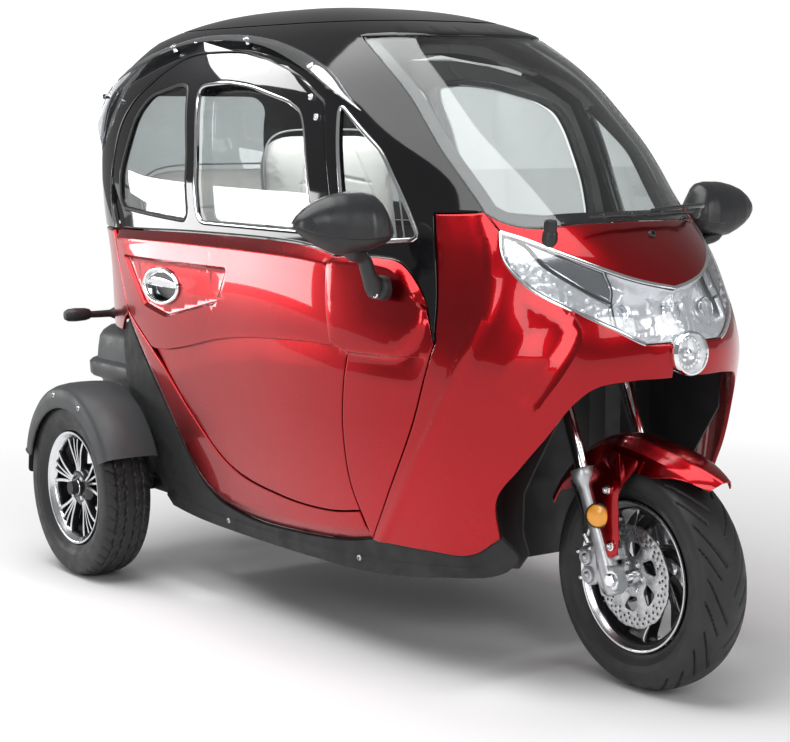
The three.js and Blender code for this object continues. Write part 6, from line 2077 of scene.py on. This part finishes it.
def seats():
    """The four seat pads, each with the channels sewn into its crowned face."""
    bolster = [[[-0.9, s * 0.62], [0, s * 0.58], [0.9, s * 0.62]] for s in (-1, 1)]
    cross = [[[0.25, -0.58], [0.30, 0], [0.25, 0.58]], [[-0.3, -0.58], [-0.25, 0], [-0.3, 0.58]]]
    pad_piece("driver_cushion", (400, 440, 90), placed(640, SEAT_TOP + 0.5), bolster + cross, "driver_seat")
    tall = Matrix.Translation(Vector((0.260, 0, 0)))
    pad_piece("driver_back_pad", (520, 430, 80), placed(398, SEAT_TOP + 108, True, 80) @ flipped() @ tall,
              [[[-0.9, s * 0.6], [0.2, s * 0.56], [0.85, s * 0.30]] for s in (-1, 1)]
              + [[[0.42, -0.5], [0.50, 0], [0.42, 0.5]], [[-0.2, -0.56], [-0.16, 0], [-0.2, 0.56]]],
              "driver_backrest")
    pad_piece("bench_cushion", (300, 660, 80), placed(115, 668),
              [[[-0.9, 0], [0.9, 0]], [[0.1, -0.9], [0.1, 0.9]]], "rear_seat")
    short = Matrix.Translation(Vector((0.165, 0, 0)))
    pad_piece("bench_back_pad", (330, 620, 60), placed(-95, 760, True, 60) @ flipped() @ short,
              [[[-0.9, 0], [0.9, 0]], [[0.2, -0.9], [0.2, 0.9]]], "rear_backrest")


def flipped():
    """Turns a pad over about its length, so that its crowned face looks ahead once it stands up."""
    return Matrix.Rotation(math.pi, 4, "X")


# ---------------------------------------------------------------- finishes of the CAD parts that stay
CAD_FINISHES = {
    "chassis_frame": FRAME, "rear_axle": FRAME, "floor_pan": CARPET, "wheel_arch_liner": DARK,
    "seat_base": DARK, "battery_pack": SATIN, "dashboard": SATIN, "handlebar": FRAME, "throttle_grip": SEAL,
    "brake_lever_R": CAST, "brake_lever_L": CAST,
}


def cad_finishes():
    """Gives each CAD part that stays visible its finish."""
    for node, finish in CAD_FINISHES.items():
        obj = bpy.data.objects[node]
        obj.data.materials.clear()
        obj.data.materials.append(finish)


seats()
cad_finishes()


# ---------------------------------------------------------------- studio
GLOW_START, GLOW_FULL = 1.1, 2.8


def floor_finish():
    """A white floor that glows more and more away from the object, so that it joins the white background."""
    m, tree, out = node_material("studio_floor_paint")
    shader = tree.nodes.new("ShaderNodeBsdfDiffuse")
    tree.links.new(colour_between(tree, noise_of(tree, 0.6), (0.84, 0.84, 0.85), (0.86, 0.86, 0.87)),
                   shader.inputs["Color"])
    coords = tree.nodes.new("ShaderNodeTexCoord")
    far = tree.nodes.new("ShaderNodeVectorMath")
    far.operation = "LENGTH"
    tree.links.new(coords.outputs["Object"], far.inputs[0])
    share = ranged(tree, far.outputs["Value"], 0.0, 1.0, GLOW_START, GLOW_FULL)
    glow = tree.nodes.new("ShaderNodeEmission")
    mix = tree.nodes.new("ShaderNodeMixShader")
    tree.links.new(share, mix.inputs["Fac"])
    tree.links.new(shader.outputs["BSDF"], mix.inputs[1])
    tree.links.new(glow.outputs["Emission"], mix.inputs[2])
    tree.links.new(mix.outputs["Shader"], out.inputs["Surface"])
    return m


STUDIO_LIGHTS = (
    ("rear_softbox", (-3.7, -2.5, 1.08), (-0.3, -0.3, 0.9), (2.6, 0.46), 34),
    ("side_softbox", (2.7, -4.2, 1.9), (0.5, 0, 0.7), (1.0, 2.3), 34),
    ("top_softbox", (-0.2, -1.3, 4.3), (0, 0, 0), (4.8, 4.0), 215),
    ("front_softbox", (4.8, 2.3, 2.3), (0.7, 0, 0.8), (1.4, 2.0), 34),
    ("fill_softbox", (4.9, -1.2, 2.9), (0.8, 0, 0.8), (2.4, 1.2), 30),
    ("cabin_light", (-0.25, 0.0, 1.38), (-0.45, 0, 0), (0.9, 0.5), 12),
)


FLOOR_REACH, FLOOR_Z = 30.0, -0.001
ROOM_STRENGTH, BEHIND_STRENGTH = 0.24, 1.6


def studio():
    """The floor, the world with its white background, and the softboxes."""
    scene = bpy.context.scene
    scene.view_settings.view_transform = "Standard"
    corners = [(x * FLOOR_REACH, y * FLOOR_REACH, FLOOR_Z) for x, y in ((-1, -1), (1, -1), (1, 1), (-1, 1))]
    floor_mesh = bpy.data.meshes.new("studio_floor")
    floor_mesh.from_pydata(corners, [], [(0, 1, 2, 3)])
    floor = bpy.data.objects.new("studio_floor", floor_mesh)
    scene.collection.objects.link(floor)
    floor_mesh.materials.append(floor_finish())
    world = bpy.data.worlds.new("studio_world")
    scene.world = world
    world.use_nodes = True
    tree = world.node_tree
    room = tree.nodes["Background"]
    room.inputs["Color"].default_value = (1, 1, 1, 1)
    room.inputs["Strength"].default_value = ROOM_STRENGTH
    behind = tree.nodes.new("ShaderNodeBackground")
    behind.inputs["Strength"].default_value = BEHIND_STRENGTH
    path = tree.nodes.new("ShaderNodeLightPath")
    mix = tree.nodes.new("ShaderNodeMixShader")
    tree.links.new(path.outputs["Is Camera Ray"], mix.inputs["Fac"])
    tree.links.new(room.outputs["Background"], mix.inputs[1])
    tree.links.new(behind.outputs["Background"], mix.inputs[2])
    tree.links.new(mix.outputs["Shader"], tree.nodes["World Output"].inputs["Surface"])
    for name, place, target, size, power in STUDIO_LIGHTS:
        data = bpy.data.lights.new(name, "AREA")
        data.shape = "RECTANGLE"
        data.size, data.size_y = size
        data.energy = power
        lamp = bpy.data.objects.new(name, data)
        lamp.location = place
        lamp.rotation_mode = "QUATERNION"
        lamp.rotation_quaternion = (Vector(target) - Vector(place)).to_track_quat("-Z", "Y")
        scene.collection.objects.link(lamp)


# The camera solved for the photograph, in design millimetres.
CAMERA_PLACE, CAMERA_TARGET = (4691.6, -2814.6, 1236.2), (704.7, 0, 587.4)
CAMERA_LENS = 88.55


def camera():
    """The camera that stands where the photograph's did."""
    data = bpy.data.cameras.new("photo_camera")
    data.lens = CAMERA_LENS
    data.sensor_width = 36
    cam = bpy.data.objects.new("photo_camera", data)
    place, target = (Vector(spot) for spot in metres([CAMERA_PLACE, CAMERA_TARGET]))
    cam.location = place
    cam.rotation_mode = "QUATERNION"
    cam.rotation_quaternion = (target - place).to_track_quat("-Z", "Y")
    data.clip_end = 200
    bpy.context.scene.collection.objects.link(cam)
    bpy.context.scene.camera = cam


camera()
studio()
